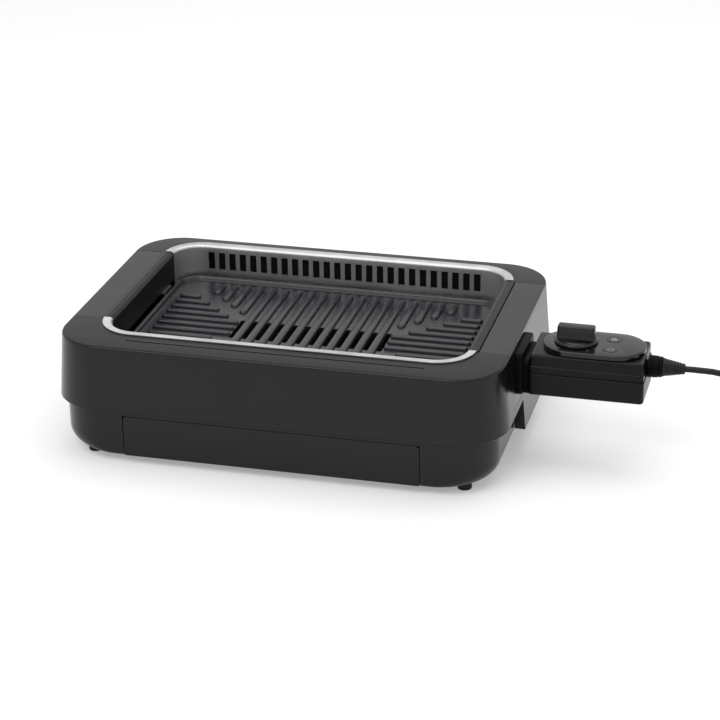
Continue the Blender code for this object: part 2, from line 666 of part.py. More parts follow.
pan_top = LEDGE_HEIGHT - CLEARANCE
pan = stack("reflector_pan", [pan_ring(0, PAN_BOTTOM),
                              pan_ring(0, pan_top - PAN_SHEET),
                              pan_ring(PAN_FLANGE, pan_top - PAN_SHEET),
                              pan_ring(PAN_FLANGE, pan_top),
                              pan_ring(-PAN_SHEET, pan_top),
                              pan_ring(-PAN_SHEET, PAN_BOTTOM + PAN_SHEET)])
drain = box("drain", -DRAIN_LENGTH / 2, DRAIN_LENGTH / 2, PATTERN_SHIFT - DRAIN_WIDTH / 2,
            PATTERN_SHIFT + DRAIN_WIDTH / 2, PAN_BOTTOM - OVERRUN, PAN_BOTTOM + OVERRUN)
leg_way = box("leg_way", PAN_LENGTH / 2 - OVERRUN, far_x, socket_front, socket_rear,
              ELEMENT_Z - ELEMENT_DIAMETER, pan_top + OVERRUN)
finish(combine(pan, [drain, leg_way]), HOUSING, BRUSHED, 0.35, 1.0)

# Duct: a flat box behind the recess, and the plenum that it stands on, over the fan
duct_front = RECESS_REAR + LINER_SHEET + CLEARANCE
duct_bottom = PLENUM_TOP + CLEARANCE
plenum_bottom = PLENUM_TOP - PLENUM_HEIGHT


def throat():
    """The way down from the duct into the plenum, through both walls."""
    return box("throat", 2 * DUCT_WALL - PLENUM_LENGTH / 2, PLENUM_LENGTH / 2 - 2 * DUCT_WALL,
               duct_front + 2 * DUCT_WALL, DUCT_REAR - 2 * DUCT_WALL,
               PLENUM_TOP - 2 * DUCT_WALL, duct_bottom + 2 * DUCT_WALL)


duct = box("smoke_duct", -DUCT_LENGTH / 2, DUCT_LENGTH / 2, duct_front, DUCT_REAR,
           duct_bottom, DUCT_TOP)
combine(duct, [
    box("hollow", DUCT_WALL - DUCT_LENGTH / 2, DUCT_LENGTH / 2 - DUCT_WALL,
        duct_front + DUCT_WALL, DUCT_REAR - DUCT_WALL,
        duct_bottom + DUCT_WALL, DUCT_TOP - DUCT_WALL),
    throat(),
    box("intake", DUCT_WALL - DUCT_LENGTH / 2, DUCT_LENGTH / 2 - DUCT_WALL,
        duct_front - OVERRUN, duct_front + 2 * DUCT_WALL, VENT_BOTTOM, DUCT_TOP - DUCT_WALL)])
finish(duct, HOUSING, BLACK, 0.6)
plenum = box("fan_plenum", -PLENUM_LENGTH / 2, PLENUM_LENGTH / 2, PLENUM_FRONT, DUCT_REAR,
             plenum_bottom, PLENUM_TOP)
combine(plenum, [
    box("hollow", DUCT_WALL - PLENUM_LENGTH / 2, PLENUM_LENGTH / 2 - DUCT_WALL,
        PLENUM_FRONT + DUCT_WALL, DUCT_REAR - DUCT_WALL,
        plenum_bottom + DUCT_WALL, PLENUM_TOP - DUCT_WALL),
    throat(),
    rod("inlet", FAN_INLET_DIAMETER, (0, FAN_Y, plenum_bottom - OVERRUN),
        (0, FAN_Y, plenum_bottom + 2 * DUCT_WALL), 24)])
finish(plenum, HOUSING, BLACK, 0.6)

# Fan: case on the base's floor, motor, and the impeller on its shaft
case_bottom = BASE_FLOOR + CLEARANCE
case_top = plenum_bottom - CLEARANCE
case_rear = BASE_HALF_Y - BASE_WALL - BASE_FRONT_ROUND - CLEARANCE
case_front = FAN_Y - FAN_CASE_RADIUS
case_middle = (0, (case_rear + case_front) / 2)
case = stack("fan_case", [plan(FAN_CASE_RADIUS, (case_rear - case_front) / 2,
                               FAN_CASE_RADIUS / 2, z, case_middle)
                          for z in (case_bottom, case_top)])
outlet_half = FAN_CASE_RADIUS * FAN_OUTLET_SHARE - FAN_CASE_WALL
combine(case, [
    rod("hollow", 2 * (FAN_CASE_RADIUS - FAN_CASE_WALL),
        (0, FAN_Y, case_bottom + FAN_CASE_WALL), (0, FAN_Y, case_top - FAN_CASE_WALL), 24),
    box("outlet", -outlet_half, outlet_half, FAN_Y, case_rear + OVERRUN,
        case_bottom + 2 * FAN_CASE_WALL, case_top - 2 * FAN_CASE_WALL),
    rod("inlet", FAN_INLET_DIAMETER, (0, FAN_Y, case_top - OVERRUN),
        (0, FAN_Y, case_top + OVERRUN), 24)])
finish(case, HOUSING, BLACK, 0.6)
motor_bottom = case_bottom + FAN_CASE_WALL + CLEARANCE
motor_top = motor_bottom + MOTOR_HEIGHT
motor = rod("fan_motor", MOTOR_DIAMETER, (0, FAN_Y, motor_bottom), (0, FAN_Y, motor_top), 24)
finish(motor, HOUSING, STEEL, 0.4, 1.0)

FAN = frame("fan_axis", 0, FAN_Y, motor_top, HOUSING)
fan_bottom = motor_top + FAN_RUNNING_GAP
fan_top = fan_bottom + FAN_HEIGHT
impeller = turned("fan_impeller", [(FAN_DIAMETER / 2, fan_bottom),
                                   (FAN_DIAMETER / 2, fan_bottom + FAN_DISC_THICKNESS),
                                   (FAN_HUB_DIAMETER / 2, fan_bottom + FAN_DISC_THICKNESS),
                                   (FAN_HUB_DIAMETER / 2 - FAN_DISC_THICKNESS, fan_top)],
                  (0, FAN_Y))
blades = []
for i in range(FAN_BLADE_COUNT):
    angle = 2 * pi * i / FAN_BLADE_COUNT
    reach = FAN_DIAMETER / 2 - FAN_DISC_THICKNESS
    corners = []
    for radius, side in ((reach - FAN_BLADE_LENGTH, -1), (reach, -1), (reach, 1),
                         (reach - FAN_BLADE_LENGTH, 1)):
        half = side * FAN_BLADE_THICKNESS / 2
        corners.append((radius * cos(angle) - half * sin(angle),
                        FAN_Y + radius * sin(angle) + half * cos(angle)))
    blades.append(prism("blade", corners, fan_bottom + FAN_DISC_THICKNESS / 2, fan_top, "Z"))
combine(impeller, [gather("blades", blades)], "UNION")
bore = rod("bore", MOTOR_SHAFT_DIAMETER + 2 * CLEARANCE, (0, FAN_Y, fan_bottom - OVERRUN),
           (0, FAN_Y, fan_top + OVERRUN), 12)
finish(combine(impeller, [bore]), FAN, BLACK, 0.5)
shaft = rod("fan_shaft", MOTOR_SHAFT_DIAMETER, (0, FAN_Y, motor_top + CLEARANCE),
            (0, FAN_Y, fan_top), 12)
finish(shaft, FAN, STEEL, 0.3, 1.0)

# Drawer runners: angles on the base's floor, beside and under the tray
runner_front = FRONT_FACE + DRAWER_THICKNESS + 2 * SLIDE_GAP
tray_front = FRONT_FACE + DRAWER_THICKNESS + CLEARANCE
tray_rear = case_front - TRAY_TO_FAN
tray_half_y = (tray_rear - tray_front) / 2
web_x = TRAY_WIDTH / 2 + SLIDE_GAP
runner_bottom = BASE_FLOOR + CLEARANCE
foot_top = runner_bottom + RUNNER_THICKNESS
runner = prism("runner_right", [(web_x - RUNNER_WIDTH, runner_bottom),
                                (web_x + RUNNER_THICKNESS, runner_bottom),
                                (web_x + RUNNER_THICKNESS, runner_bottom + RUNNER_WEB),
                                (web_x, runner_bottom + RUNNER_WEB),
                                (web_x, foot_top),
                                (web_x - RUNNER_WIDTH, foot_top)], runner_front, tray_rear)
finish(mirrored("runner_left", runner), HOUSING, STEEL, 0.35, 1.0)
finish(runner, HOUSING, STEEL, 0.35, 1.0)

DRAWER = frame("drawer_slide", 0, FRONT_FACE, DRAWER_BOTTOM, HOUSING)
outline = [(DRAWER_WIDTH / 2, DRAWER_BOTTOM)]
for step in range(5):
    angle = step / 4 * pi / 2
    outline.append((DRAWER_WIDTH / 2 - DRAWER_CORNER * (1 - cos(angle)),
                    DRAWER_TOP - DRAWER_CORNER * (1 - sin(angle))))
outline += [(-x, z) for x, z in outline[::-1]]
panel = prism("drawer_front", outline, FRONT_FACE, FRONT_FACE + DRAWER_THICKNESS)
finger = box("finger_groove", -FINGER_WIDTH / 2, FINGER_WIDTH / 2,
             FRONT_FACE + DRAWER_THICKNESS - FINGER_DEPTH, FRONT_FACE + DRAWER_THICKNESS
             + OVERRUN, DRAWER_BOTTOM - OVERRUN, DRAWER_BOTTOM + FINGER_HEIGHT)
finish(combine(panel, [finger]), DRAWER, SATIN_BLACK, 0.4)
tray_middle = (0, (tray_front + tray_rear) / 2)
tray_bottom = foot_top + CLEARANCE


def tray_ring(inset, z):
    return plan(TRAY_WIDTH / 2 - inset, tray_half_y - inset, TRAY_RADIUS - inset, z,
                tray_middle)


tray = stack("drip_tray", [tray_ring(TRAY_WALL, tray_bottom),
                           tray_ring(0, tray_bottom + TRAY_WALL),
                           tray_ring(0, tray_bottom + TRAY_HEIGHT),
                           tray_ring(TRAY_WALL, tray_bottom + TRAY_HEIGHT),
                           tray_ring(TRAY_WALL, tray_bottom + TRAY_WALL)])
finish(tray, DRAWER, BLACK, 0.5)

# The lift-out plate, which carries the covers, the element and the socket
PLATE = frame("plate_lift", 0, PLATE_SHIFT, PLATE_BOTTOM, HOUSING)


def plate_ring(inset, z):
    return plan(PLATE_LENGTH / 2 - inset, PLATE_WIDTH / 2 - inset, PLATE_RADIUS - inset, z,
                (0, PLATE_SHIFT))


plate = stack("grill_plate", [plate_ring(PLATE_DRAFT, PLATE_BOTTOM),
                              plate_ring(0, PLATE_TOP - PLATE_RIM_WIDTH / 4),
                              plate_ring(PLATE_RIM_WIDTH / 4, PLATE_TOP),
                              plate_ring(PLATE_RIM_WIDTH * 3 / 4, PLATE_TOP),
                              plate_ring(PLATE_RIM_WIDTH, PLATE_TOP - PLATE_RIM_WIDTH / 4),
                              plate_ring(PLATE_RIM_WIDTH + PLATE_DRAFT, PLATE_FLOOR)])


def rib(start, end, width):
    """A raised rib with sloping flanks and round ends, between two (x, y) places."""
    (x0, y0), (x1, y1) = start, end
    length = hypot(x1 - x0, y1 - y0)
    ux, uy = (x1 - x0) / length, (y1 - y0) / length
    rings = []
    for z, share in ((PLATE_FLOOR - RIB_HEIGHT / 2, 1), (PLATE_FLOOR, 1),
                     (PLATE_FLOOR + RIB_HEIGHT, RIB_CREST_SHARE)):
        radius = width / 2 * share
        ring = []
        for (cx, cy), turn in (((x0, y0), pi / 2), ((x1, y1), -pi / 2)):
            for step in range(4):
                angle = turn + step / 3 * pi
                along, across = radius * cos(angle), radius * sin(angle)
                ring.append((cx + along * ux - across * uy, cy + along * uy + across * ux, z))
        rings.append(ring)
    return stack("rib", rings)


ribs = []
for i in range(LONG_RIB_COUNT):
    x = (i - (LONG_RIB_COUNT - 1) / 2) * RIB_PITCH
    ribs.append(rib((x, RIB_FRONT), (x, RIB_REAR), LONG_RIB_WIDTH))
for i in range(SHORT_RIB_COUNT):
    x = ((LONG_RIB_COUNT + 1) / 2 + i) * RIB_PITCH
    reach = SHORT_RIB_START + i * SHORT_RIB_STEP
    for side in (-x, x):
        if PATTERN_SHIFT + reach < RIB_REAR - LONG_RIB_WIDTH:
            ribs.append(rib((side, PATTERN_SHIFT + reach), (side, RIB_REAR), LONG_RIB_WIDTH))
        if PATTERN_SHIFT - reach > RIB_FRONT + LONG_RIB_WIDTH:
            ribs.append(rib((side, RIB_FRONT), (side, PATTERN_SHIFT - reach),
                            LONG_RIB_WIDTH))
for i in range(-CROSS_RIB_COUNT, CROSS_RIB_COUNT + 1):
    y = PATTERN_SHIFT + i * CROSS_RIB_PITCH
    inner = CROSS_RIB_INNER + max(0, abs(i) - 1) * SHORT_RIB_STEP
    for side in (-1, 1):
        ribs.append(rib((side * inner, y), (side * CROSS_RIB_OUTER, y), CROSS_RIB_WIDTH))
combine(plate, [gather("ribs", ribs)], "UNION")
slots = []
for i in range(LONG_RIB_COUNT + 1):
    x = (i - LONG_RIB_COUNT / 2) * RIB_PITCH
    slots.append(box("slot", x - SLOT_WIDTH / 2, x + SLOT_WIDTH / 2,
                     PATTERN_SHIFT - SLOT_LENGTH / 2, PATTERN_SHIFT + SLOT_LENGTH / 2,
                     PLATE_BOTTOM - OVERRUN, PLATE_TOP + OVERRUN))
finish(combine(plate, [gather("slots", slots)]), PLATE, COATED, 0.45)

# Heating element: one loop under the plate, both ends straight into the socket
element_front = PLATE_FRONT + ELEMENT_FROM_FRONT
element_rear = PLATE_REAR - ELEMENT_FROM_REAR
element_left = ELEMENT_FROM_LEFT - PLATE_LENGTH / 2
element_right = PLATE_LENGTH / 2 - ELEMENT_FROM_RIGHT
leg_end = SOCKET_X - CLEARANCE


def rounded_path(corners, radius, steps=5):
    """Points along straight runs between corners, with each corner turned round."""
    points = [Vector(corners[0])]
    for before, corner, after in zip(corners, corners[1:], corners[2:]):
        corner = Vector(corner)
        back = (Vector(before) - corner).normalized()
        ahead = (Vector(after) - corner).normalized()
        centre = corner + (back + ahead) * radius
        for step in range(steps + 1):
            angle = step / steps * pi / 2
            points.append(centre - ahead * radius * cos(angle) - back * radius * sin(angle))
    points.append(Vector(corners[-1]))
    return points


element = tube("heating_element", rounded_path([
    (leg_end, TERMINAL_FRONT, ELEMENT_Z),
    (element_right, TERMINAL_FRONT, ELEMENT_Z),
    (element_right, element_front, ELEMENT_Z),
    (element_left, element_front, ELEMENT_Z),
    (element_left, element_rear, ELEMENT_Z),
    (element_right, element_rear, ELEMENT_Z),
    (element_right, TERMINAL_REAR, ELEMENT_Z),
    (leg_end, TERMINAL_REAR, ELEMENT_Z)], ELEMENT_BEND / 2), ELEMENT_DIAMETER, 2)
finish(element, PLATE, STEEL, 0.45, 1.0)

# Clamps: bridges under the element, screwed up into the plate
clamp_half = ELEMENT_DIAMETER / 2 + CLEARANCE
clamp_places = {"front": (0, element_front), "rear": (0, element_rear),
                "left": (element_left, (element_front + element_rear) / 2)}
for label, (x, y) in clamp_places.items():
    run_x, run_y = (CLAMP_WIDTH / 2, clamp_half + CLAMP_WALL)
    gap_x, gap_y = (CLAMP_WIDTH / 2 + OVERRUN, clamp_half)
    if label == "left":
        run_x, run_y, gap_x, gap_y = run_y, run_x, gap_y, gap_x
    clamp_floor = ELEMENT_Z - clamp_half - CLAMP_FLOOR
    clamp = box("element_clamp_" + label, x - run_x, x + run_x, y - run_y, y + run_y,
                clamp_floor, PLATE_BOTTOM - CLEARANCE)
    gap = box("gap", x - gap_x, x + gap_x, y - gap_y, y + gap_y,
              clamp_floor + CLAMP_FLOOR, PLATE_BOTTOM + OVERRUN)
    finish(combine(clamp, [gap]), PLATE, STEEL, 0.4, 1.0)

# Covers: a shell flush with the housing's top and side, with a tab below and a tongue
# under the lip; the lip and its skirt close the recess down to the plate's rim
cover_inner_x = LIP_OUTER_X + CLEARANCE
edge_z = HOUSING_TOP - EDGE_ROUND
cover = prism("right_cover", [
    (side_face(TAB_BOTTOM), TAB_BOTTOM),
    (side_face(edge_z), edge_z),
    (side_face(HOUSING_TOP) - EDGE_ROUND / 4, HOUSING_TOP - EDGE_ROUND / 4),
    (side_face(HOUSING_TOP) - EDGE_ROUND, HOUSING_TOP),
    (cover_inner_x, HOUSING_TOP),
    (cover_inner_x, HOUSING_TOP - LIP_DEPTH - CLEARANCE),
    (cover_inner_x - TONGUE_LENGTH, HOUSING_TOP - LIP_DEPTH - CLEARANCE),
    (cover_inner_x - TONGUE_LENGTH, HOUSING_TOP - LIP_DEPTH - CLEARANCE - TONGUE_THICKNESS),
    (cover_inner_x + COVER_WALL, HOUSING_TOP - LIP_DEPTH - CLEARANCE - TONGUE_THICKNESS),
    (cover_inner_x + COVER_WALL, HOUSING_TOP - COVER_WALL),
    (side_face(HOUSING_TOP) - COVER_WALL, HOUSING_TOP - COVER_WALL),
    (side_face(COVER_BOTTOM + COVER_WALL) - COVER_WALL, COVER_BOTTOM + COVER_WALL),
    (tab_inner_x, COVER_BOTTOM + COVER_WALL),
    (tab_inner_x, TAB_BOTTOM)], COVER_FRONT, COVER_REAR)
beside_tab = [box("beside", LIP_OUTER_X, far_x, y0, y1, TAB_BOTTOM - OVERRUN, COVER_BOTTOM)
              for y0, y1 in ((COVER_FRONT - OVERRUN, tab_front),
                             (tab_rear, COVER_REAR + OVERRUN))]
combine(cover, [gather("beside", beside_tab)])
left_cover = mirrored("left_cover", cover)
neck_hole = box("neck_hole", SOCKET_END, far_x, SOCKET_Y - NECK_WIDTH / 2 - CLEARANCE,
                SOCKET_Y + NECK_WIDTH / 2 + CLEARANCE, NECK_BOTTOM - CLEARANCE,
                NECK_BOTTOM + NECK_HEIGHT + CLEARANCE)
finish(combine(cover, [neck_hole]), PLATE, SATIN_BLACK, 0.3)
finish(left_cover, PLATE, SATIN_BLACK, 0.3)

lip_top = HOUSING_TOP + LIP_RISE
lip_profile = [
    (LIP_INNER_X, SKIRT_BOTTOM), (LIP_INNER_X + SKIRT_WALL, SKIRT_BOTTOM),
    (LIP_INNER_X + SKIRT_WALL, HOUSING_TOP - LIP_DEPTH),
    (LIP_OUTER_X, HOUSING_TOP - LIP_DEPTH), (LIP_OUTER_X, HOUSING_TOP)]
for step in range(5):
    angle = step / 4 * pi / 2
    lip_profile.append((LIP_INNER_X + LIP_DEPTH * (1 - sin(angle)),
                        lip_top - LIP_DEPTH * (1 - cos(angle))))
lip = prism("right_lip", lip_profile, COVER_FRONT, COVER_REAR)
finish(mirrored("left_lip", lip), PLATE, BLACK, 0.4)
finish(lip, PLATE, BLACK, 0.4)

# Brackets: a strip under each skirt, from the plate's side to the cover's wall
bracket_top = SKIRT_BOTTOM - CLEARANCE
bracket_end = side_face(bracket_top) - COVER_WALL - SLIDE_GAP
bracket_start = PLATE_LENGTH / 2 + CLEARANCE
bracket_y = COVER_REAR - BRACKET_FROM_REAR
bracket = box("bracket_right", bracket_start, bracket_end, bracket_y - BRACKET_LENGTH / 2,
              bracket_y + BRACKET_LENGTH / 2, bracket_top - BRACKET_SHEET, bracket_top)
finish(mirrored("bracket_left", bracket), PLATE, STEEL, 0.4, 1.0)
finish(bracket, PLATE, STEEL, 0.4, 1.0)

# Socket: a block on the element's legs, open to the side for pins and probe
socket = box("inlet_socket", SOCKET_X, SOCKET_END, socket_front, socket_rear, SOCKET_BOTTOM,
             SOCKET_BOTTOM + SOCKET_HEIGHT)
terminal_ways = [rod("way", TERMINAL_DIAMETER + 2 * CLEARANCE, (SOCKET_X - OVERRUN, y, ELEMENT_Z),
                     (SOCKET_END + OVERRUN, y, ELEMENT_Z), 12)
                 for y in (TERMINAL_FRONT, TERMINAL_REAR)]
probe_way = rod("way", PROBE_DIAMETER + 2 * CLEARANCE, (SOCKET_X - OVERRUN, SOCKET_Y, PROBE_Z),
                (SOCKET_END + OVERRUN, SOCKET_Y, PROBE_Z), 12)
finish(combine(socket, [gather("ways", terminal_ways + [probe_way])]), PLATE,
       BLACK, 0.6)
for label, y in (("front", TERMINAL_FRONT), ("rear", TERMINAL_REAR)):
    pin = rod("terminal_" + label, TERMINAL_DIAMETER, (SOCKET_X, y, ELEMENT_Z),
              (SOCKET_X + TERMINAL_LENGTH, y, ELEMENT_Z), 12)
    finish(pin, PLATE, BRASS, 0.3, 1.0)

# The control unit, on the plate's socket
UNIT = frame("control_unit_slide", UNIT_X, SOCKET_Y, CORD_HEIGHT, PLATE)
unit_middle = (UNIT_X + UNIT_LENGTH / 2, SOCKET_Y)
sleeve_start = NECK_START + 2 * CLEARANCE


def unit_ring(inset, z):
    return plan(UNIT_LENGTH / 2 - inset, UNIT_WIDTH / 2 - inset,
                max(UNIT_CORNER - inset, CLEARANCE), z, unit_middle)


parting = PARTING_HEIGHT - CLEARANCE / 2
bottom_rings = [unit_ring(UNIT_EDGE, UNIT_BOTTOM),
                unit_ring(UNIT_EDGE / 4, UNIT_BOTTOM + UNIT_EDGE / 4),
                unit_ring(0, UNIT_BOTTOM + UNIT_EDGE), unit_ring(0, parting),
                unit_ring(UNIT_WALL, parting), unit_ring(UNIT_WALL, UNIT_BOTTOM + UNIT_WALL)]
bottom_case = stack("control_case_bottom", bottom_rings)
neck_port = box("port", UNIT_X - OVERRUN, UNIT_X + OVERRUN,
                SOCKET_Y - NECK_WIDTH / 2 + NECK_ROUND, SOCKET_Y + NECK_WIDTH / 2 - NECK_ROUND,
                UNIT_BOTTOM + UNIT_EDGE, PARTING_HEIGHT - UNIT_WALL)
combine(bottom_case, [neck_port])

ceiling = UNIT_TOP - UNIT_WALL
band_top = PARTING_HEIGHT + BAND_HEIGHT
top_case = stack("control_case_top", [
    unit_ring(PARTING_LEDGE + UNIT_WALL, ceiling),
    unit_ring(PARTING_LEDGE + UNIT_WALL, PARTING_HEIGHT + CLEARANCE / 2),
    unit_ring(PARTING_LEDGE, PARTING_HEIGHT + CLEARANCE / 2),
    unit_ring(PARTING_LEDGE, band_top),
    unit_ring(PARTING_LEDGE + BAND_STEP, band_top + BAND_STEP / 2),
    unit_ring(PARTING_LEDGE + BAND_STEP, UNIT_TOP - TOP_ROUND),
    unit_ring(PARTING_LEDGE + BAND_STEP + TOP_ROUND * ROUND_SHARE,
              UNIT_TOP - TOP_ROUND * ROUND_SHARE),
    unit_ring(PARTING_LEDGE + BAND_STEP + TOP_ROUND, UNIT_TOP)])
button_places = {"fan": SOCKET_Y + BUTTON_SPACING / 2, "power": SOCKET_Y - BUTTON_SPACING / 2}


def panel_holes():
    """Ways through the panel and the case's top for the knob's shaft and the buttons."""
    low, high = ceiling - OVERRUN / 2, PANEL_TOP + OVERRUN
    holes = [rod("hole", KNOB_SHAFT_DIAMETER + 2 * CLEARANCE, (KNOB_X, SOCKET_Y, low),
                 (KNOB_X, SOCKET_Y, high), 16)]
    for y in button_places.values():
        holes.append(rod("hole", BUTTON_DIAMETER + 2 * CLEARANCE, (BUTTON_X, y, low),
                         (BUTTON_X, y, high), 24))
    return gather("holes", holes)


def gland_hole():
    return rod("hole", GLAND_NECK_DIAMETER + 2 * CLEARANCE,
               (UNIT_END - OVERRUN, SOCKET_Y, CORD_HEIGHT),
               (UNIT_END + OVERRUN, SOCKET_Y, CORD_HEIGHT), 24)


finish(combine(bottom_case, [gland_hole()]), UNIT, BLACK, 0.4)
finish(combine(top_case, [panel_holes(), gland_hole()]), UNIT, BLACK, 0.4)


def panel_ring(inset, z):
    return plan(PANEL_LENGTH / 2 - inset, PANEL_WIDTH / 2 - inset, PANEL_WIDTH / 2 - inset, z,
                (PANEL_X, SOCKET_Y))


panel_edge = PANEL_THICKNESS / 4
top_panel = stack("control_panel", [panel_ring(0, PANEL_BOTTOM),
                                    panel_ring(0, PANEL_TOP - panel_edge),
                                    panel_ring(panel_edge / 3, PANEL_TOP - panel_edge / 3),
                                    panel_ring(panel_edge, PANEL_TOP)])
finish(combine(top_panel, [panel_holes()]), UNIT, MATTE_GREY, 0.4)


def along_x(name, middle, sections):
    """A solid through rounded rectangles across X: (x, half width, half height, radius)."""
    rings = []
    for x, half_y, half_z, radius in sections:
        flat = plan(half_y, half_z, radius, x, middle)
        rings.append([(place, y, z) for y, z, place in flat])
    return stack(name, rings)


neck_z = NECK_BOTTOM + NECK_HEIGHT / 2
neck_end = UNIT_X - CLEARANCE
neck = along_x("connector_neck", (SOCKET_Y, neck_z), [
    (NECK_START, NECK_WIDTH / 2, NECK_HEIGHT / 2, NECK_ROUND),
    (neck_end, NECK_WIDTH / 2, NECK_HEIGHT / 2, NECK_ROUND)])
collar_top = UNIT_TOP - COLLAR_INSET
collar_half_y = UNIT_WIDTH / 2 - COLLAR_INSET
collar_half_z = (collar_top - NECK_BOTTOM) / 2
collar_end = side_face(collar_top) + COLLAR_THICKNESS
collar = along_x("collar", (SOCKET_Y, NECK_BOTTOM + collar_half_z), [
    (side_face(collar_top), collar_half_y, collar_half_z, COLLAR_ROUND),
    (collar_end - COLLAR_INSET, collar_half_y, collar_half_z, COLLAR_ROUND),
    (collar_end, collar_half_y - COLLAR_INSET, collar_half_z - COLLAR_INSET,
     COLLAR_ROUND - COLLAR_INSET)])
wall_space = prism("wall_space", [
    (SOCKET_END, TAB_BOTTOM), (side_face(TAB_BOTTOM) + CLEARANCE, TAB_BOTTOM),
    (side_face(HOUSING_TOP) + CLEARANCE, HOUSING_TOP), (SOCKET_END, HOUSING_TOP)],
    COVER_FRONT, COVER_REAR)
combine(neck, [combine(collar, [wall_space])], "UNION")
sleeve_end = sleeve_start + SLEEVE_LENGTH
ways = [rod("way", SLEEVE_DIAMETER + 2 * CLEARANCE, (NECK_START - OVERRUN, y, ELEMENT_Z),
            (sleeve_end + CLEARANCE, y, ELEMENT_Z), 16) for y in (TERMINAL_FRONT, TERMINAL_REAR)]
ways.append(rod("way", PROBE_DIAMETER + 2 * CLEARANCE, (NECK_START - OVERRUN, SOCKET_Y, PROBE_Z),
                (neck_end + OVERRUN, SOCKET_Y, PROBE_Z), 12))
finish(combine(neck, [gather("ways", ways)]), UNIT, BLACK, 0.45)
for label, y in (("front", TERMINAL_FRONT), ("rear", TERMINAL_REAR)):
    sleeve = rod("contact_sleeve_" + label, SLEEVE_DIAMETER, (sleeve_start, y, ELEMENT_Z),
                 (sleeve_end, y, ELEMENT_Z), 16)
    bore = rod("bore", TERMINAL_DIAMETER + 2 * CLEARANCE, (sleeve_start - OVERRUN, y, ELEMENT_Z),
               (sleeve_end + OVERRUN, y, ELEMENT_Z), 12)
    finish(combine(sleeve, [bore]), UNIT, BRASS, 0.3, 1.0)
probe = rod("temperature_probe", PROBE_DIAMETER, (PLATE_LENGTH / 2 + CLEARANCE, SOCKET_Y, PROBE_Z),
            (neck_end, SOCKET_Y, PROBE_Z), 12)
finish(probe, UNIT, STEEL, 0.3, 1.0)

# Inside the unit: board, potentiometer and one switch under each button
board_inset = PARTING_LEDGE + UNIT_WALL + CLEARANCE
board = stack("circuit_board", [unit_ring(board_inset, BOARD_HEIGHT),
                                unit_ring(board_inset, BOARD_HEIGHT + BOARD_THICKNESS)])
gland_way = box("way", UNIT_END - OVERRUN, UNIT_END, SOCKET_Y - GLAND_NECK_DIAMETER,
                SOCKET_Y + GLAND_NECK_DIAMETER, BOARD_HEIGHT - OVERRUN, BOARD_HEIGHT + OVERRUN)
finish(combine(board, [gland_way]), UNIT, BOARD_GREEN, 0.5)
board_top = BOARD_HEIGHT + BOARD_THICKNESS + CLEARANCE
pot_top = ceiling - CLEARANCE
finish(rod("potentiometer", POT_DIAMETER, (KNOB_X, SOCKET_Y, board_top),
           (KNOB_X, SOCKET_Y, pot_top), 20), UNIT, STEEL, 0.4, 1.0)
button_bottom = ceiling - UNIT_WALL
switch_top = button_bottom - BUTTON_TRAVEL - CLEARANCE
for label, y in button_places.items():
    finish(box(label + "_switch", BUTTON_X - SWITCH_SIDE / 2, BUTTON_X + SWITCH_SIDE / 2,
               y - SWITCH_SIDE / 2, y + SWITCH_SIDE / 2, board_top, switch_top),
           UNIT, BLACK, 0.5)
    button_frame = frame(label + "_button_slide", BUTTON_X, y, PANEL_TOP, UNIT)
    button_top = PANEL_TOP + BUTTON_RISE
    button = turned(label + "_button", [
        (BUTTON_DIAMETER / 2, button_bottom),
        (BUTTON_DIAMETER / 2, button_top - BUTTON_RISE / 2),
        (BUTTON_DIAMETER / 2 - BUTTON_RISE / 2, button_top)], (BUTTON_X, y))
    finish(button, button_frame, BLACK, 0.35)

KNOB = frame("knob_axis", KNOB_X, SOCKET_Y, PANEL_TOP, UNIT)
knob_bottom = PANEL_TOP + CLEARANCE
base_top = knob_bottom + KNOB_BASE_HEIGHT
grip_top = base_top + KNOB_GRIP_HEIGHT
knob = turned("knob", [(KNOB_BASE_DIAMETER / 2, knob_bottom),
                       (KNOB_BASE_DIAMETER / 2, base_top - KNOB_BASE_HEIGHT / 3),
                       (KNOB_BASE_DIAMETER / 2 - KNOB_BASE_HEIGHT / 3, base_top)],
              (KNOB_X, SOCKET_Y), 32)
grip_edge = KNOB_GRIP_WIDTH / 6
grip = stack("grip", [plan(KNOB_GRIP_LENGTH / 2 - inset, KNOB_GRIP_WIDTH / 2 - inset,
                           KNOB_GRIP_WIDTH / 2 - inset, z, (KNOB_X, SOCKET_Y))
                      for inset, z in ((0, base_top - KNOB_BASE_HEIGHT / 2),
                                       (0, grip_top - grip_edge), (grip_edge, grip_top))])
combine(knob, [grip], "UNION")
knob_bore = rod("bore", KNOB_SHAFT_DIAMETER + 2 * CLEARANCE,
                (KNOB_X, SOCKET_Y, knob_bottom - OVERRUN),
                (KNOB_X, SOCKET_Y, base_top + KNOB_GRIP_HEIGHT / 2 + CLEARANCE), 16)
finish(combine(knob, [knob_bore]), KNOB, BLACK, 0.2)
knob_shaft = rod("knob_shaft", KNOB_SHAFT_DIAMETER, (KNOB_X, SOCKET_Y, pot_top + CLEARANCE),
                 (KNOB_X, SOCKET_Y, base_top + KNOB_GRIP_HEIGHT / 2), 16)
finish(knob_shaft, KNOB, STEEL, 0.3, 1.0)

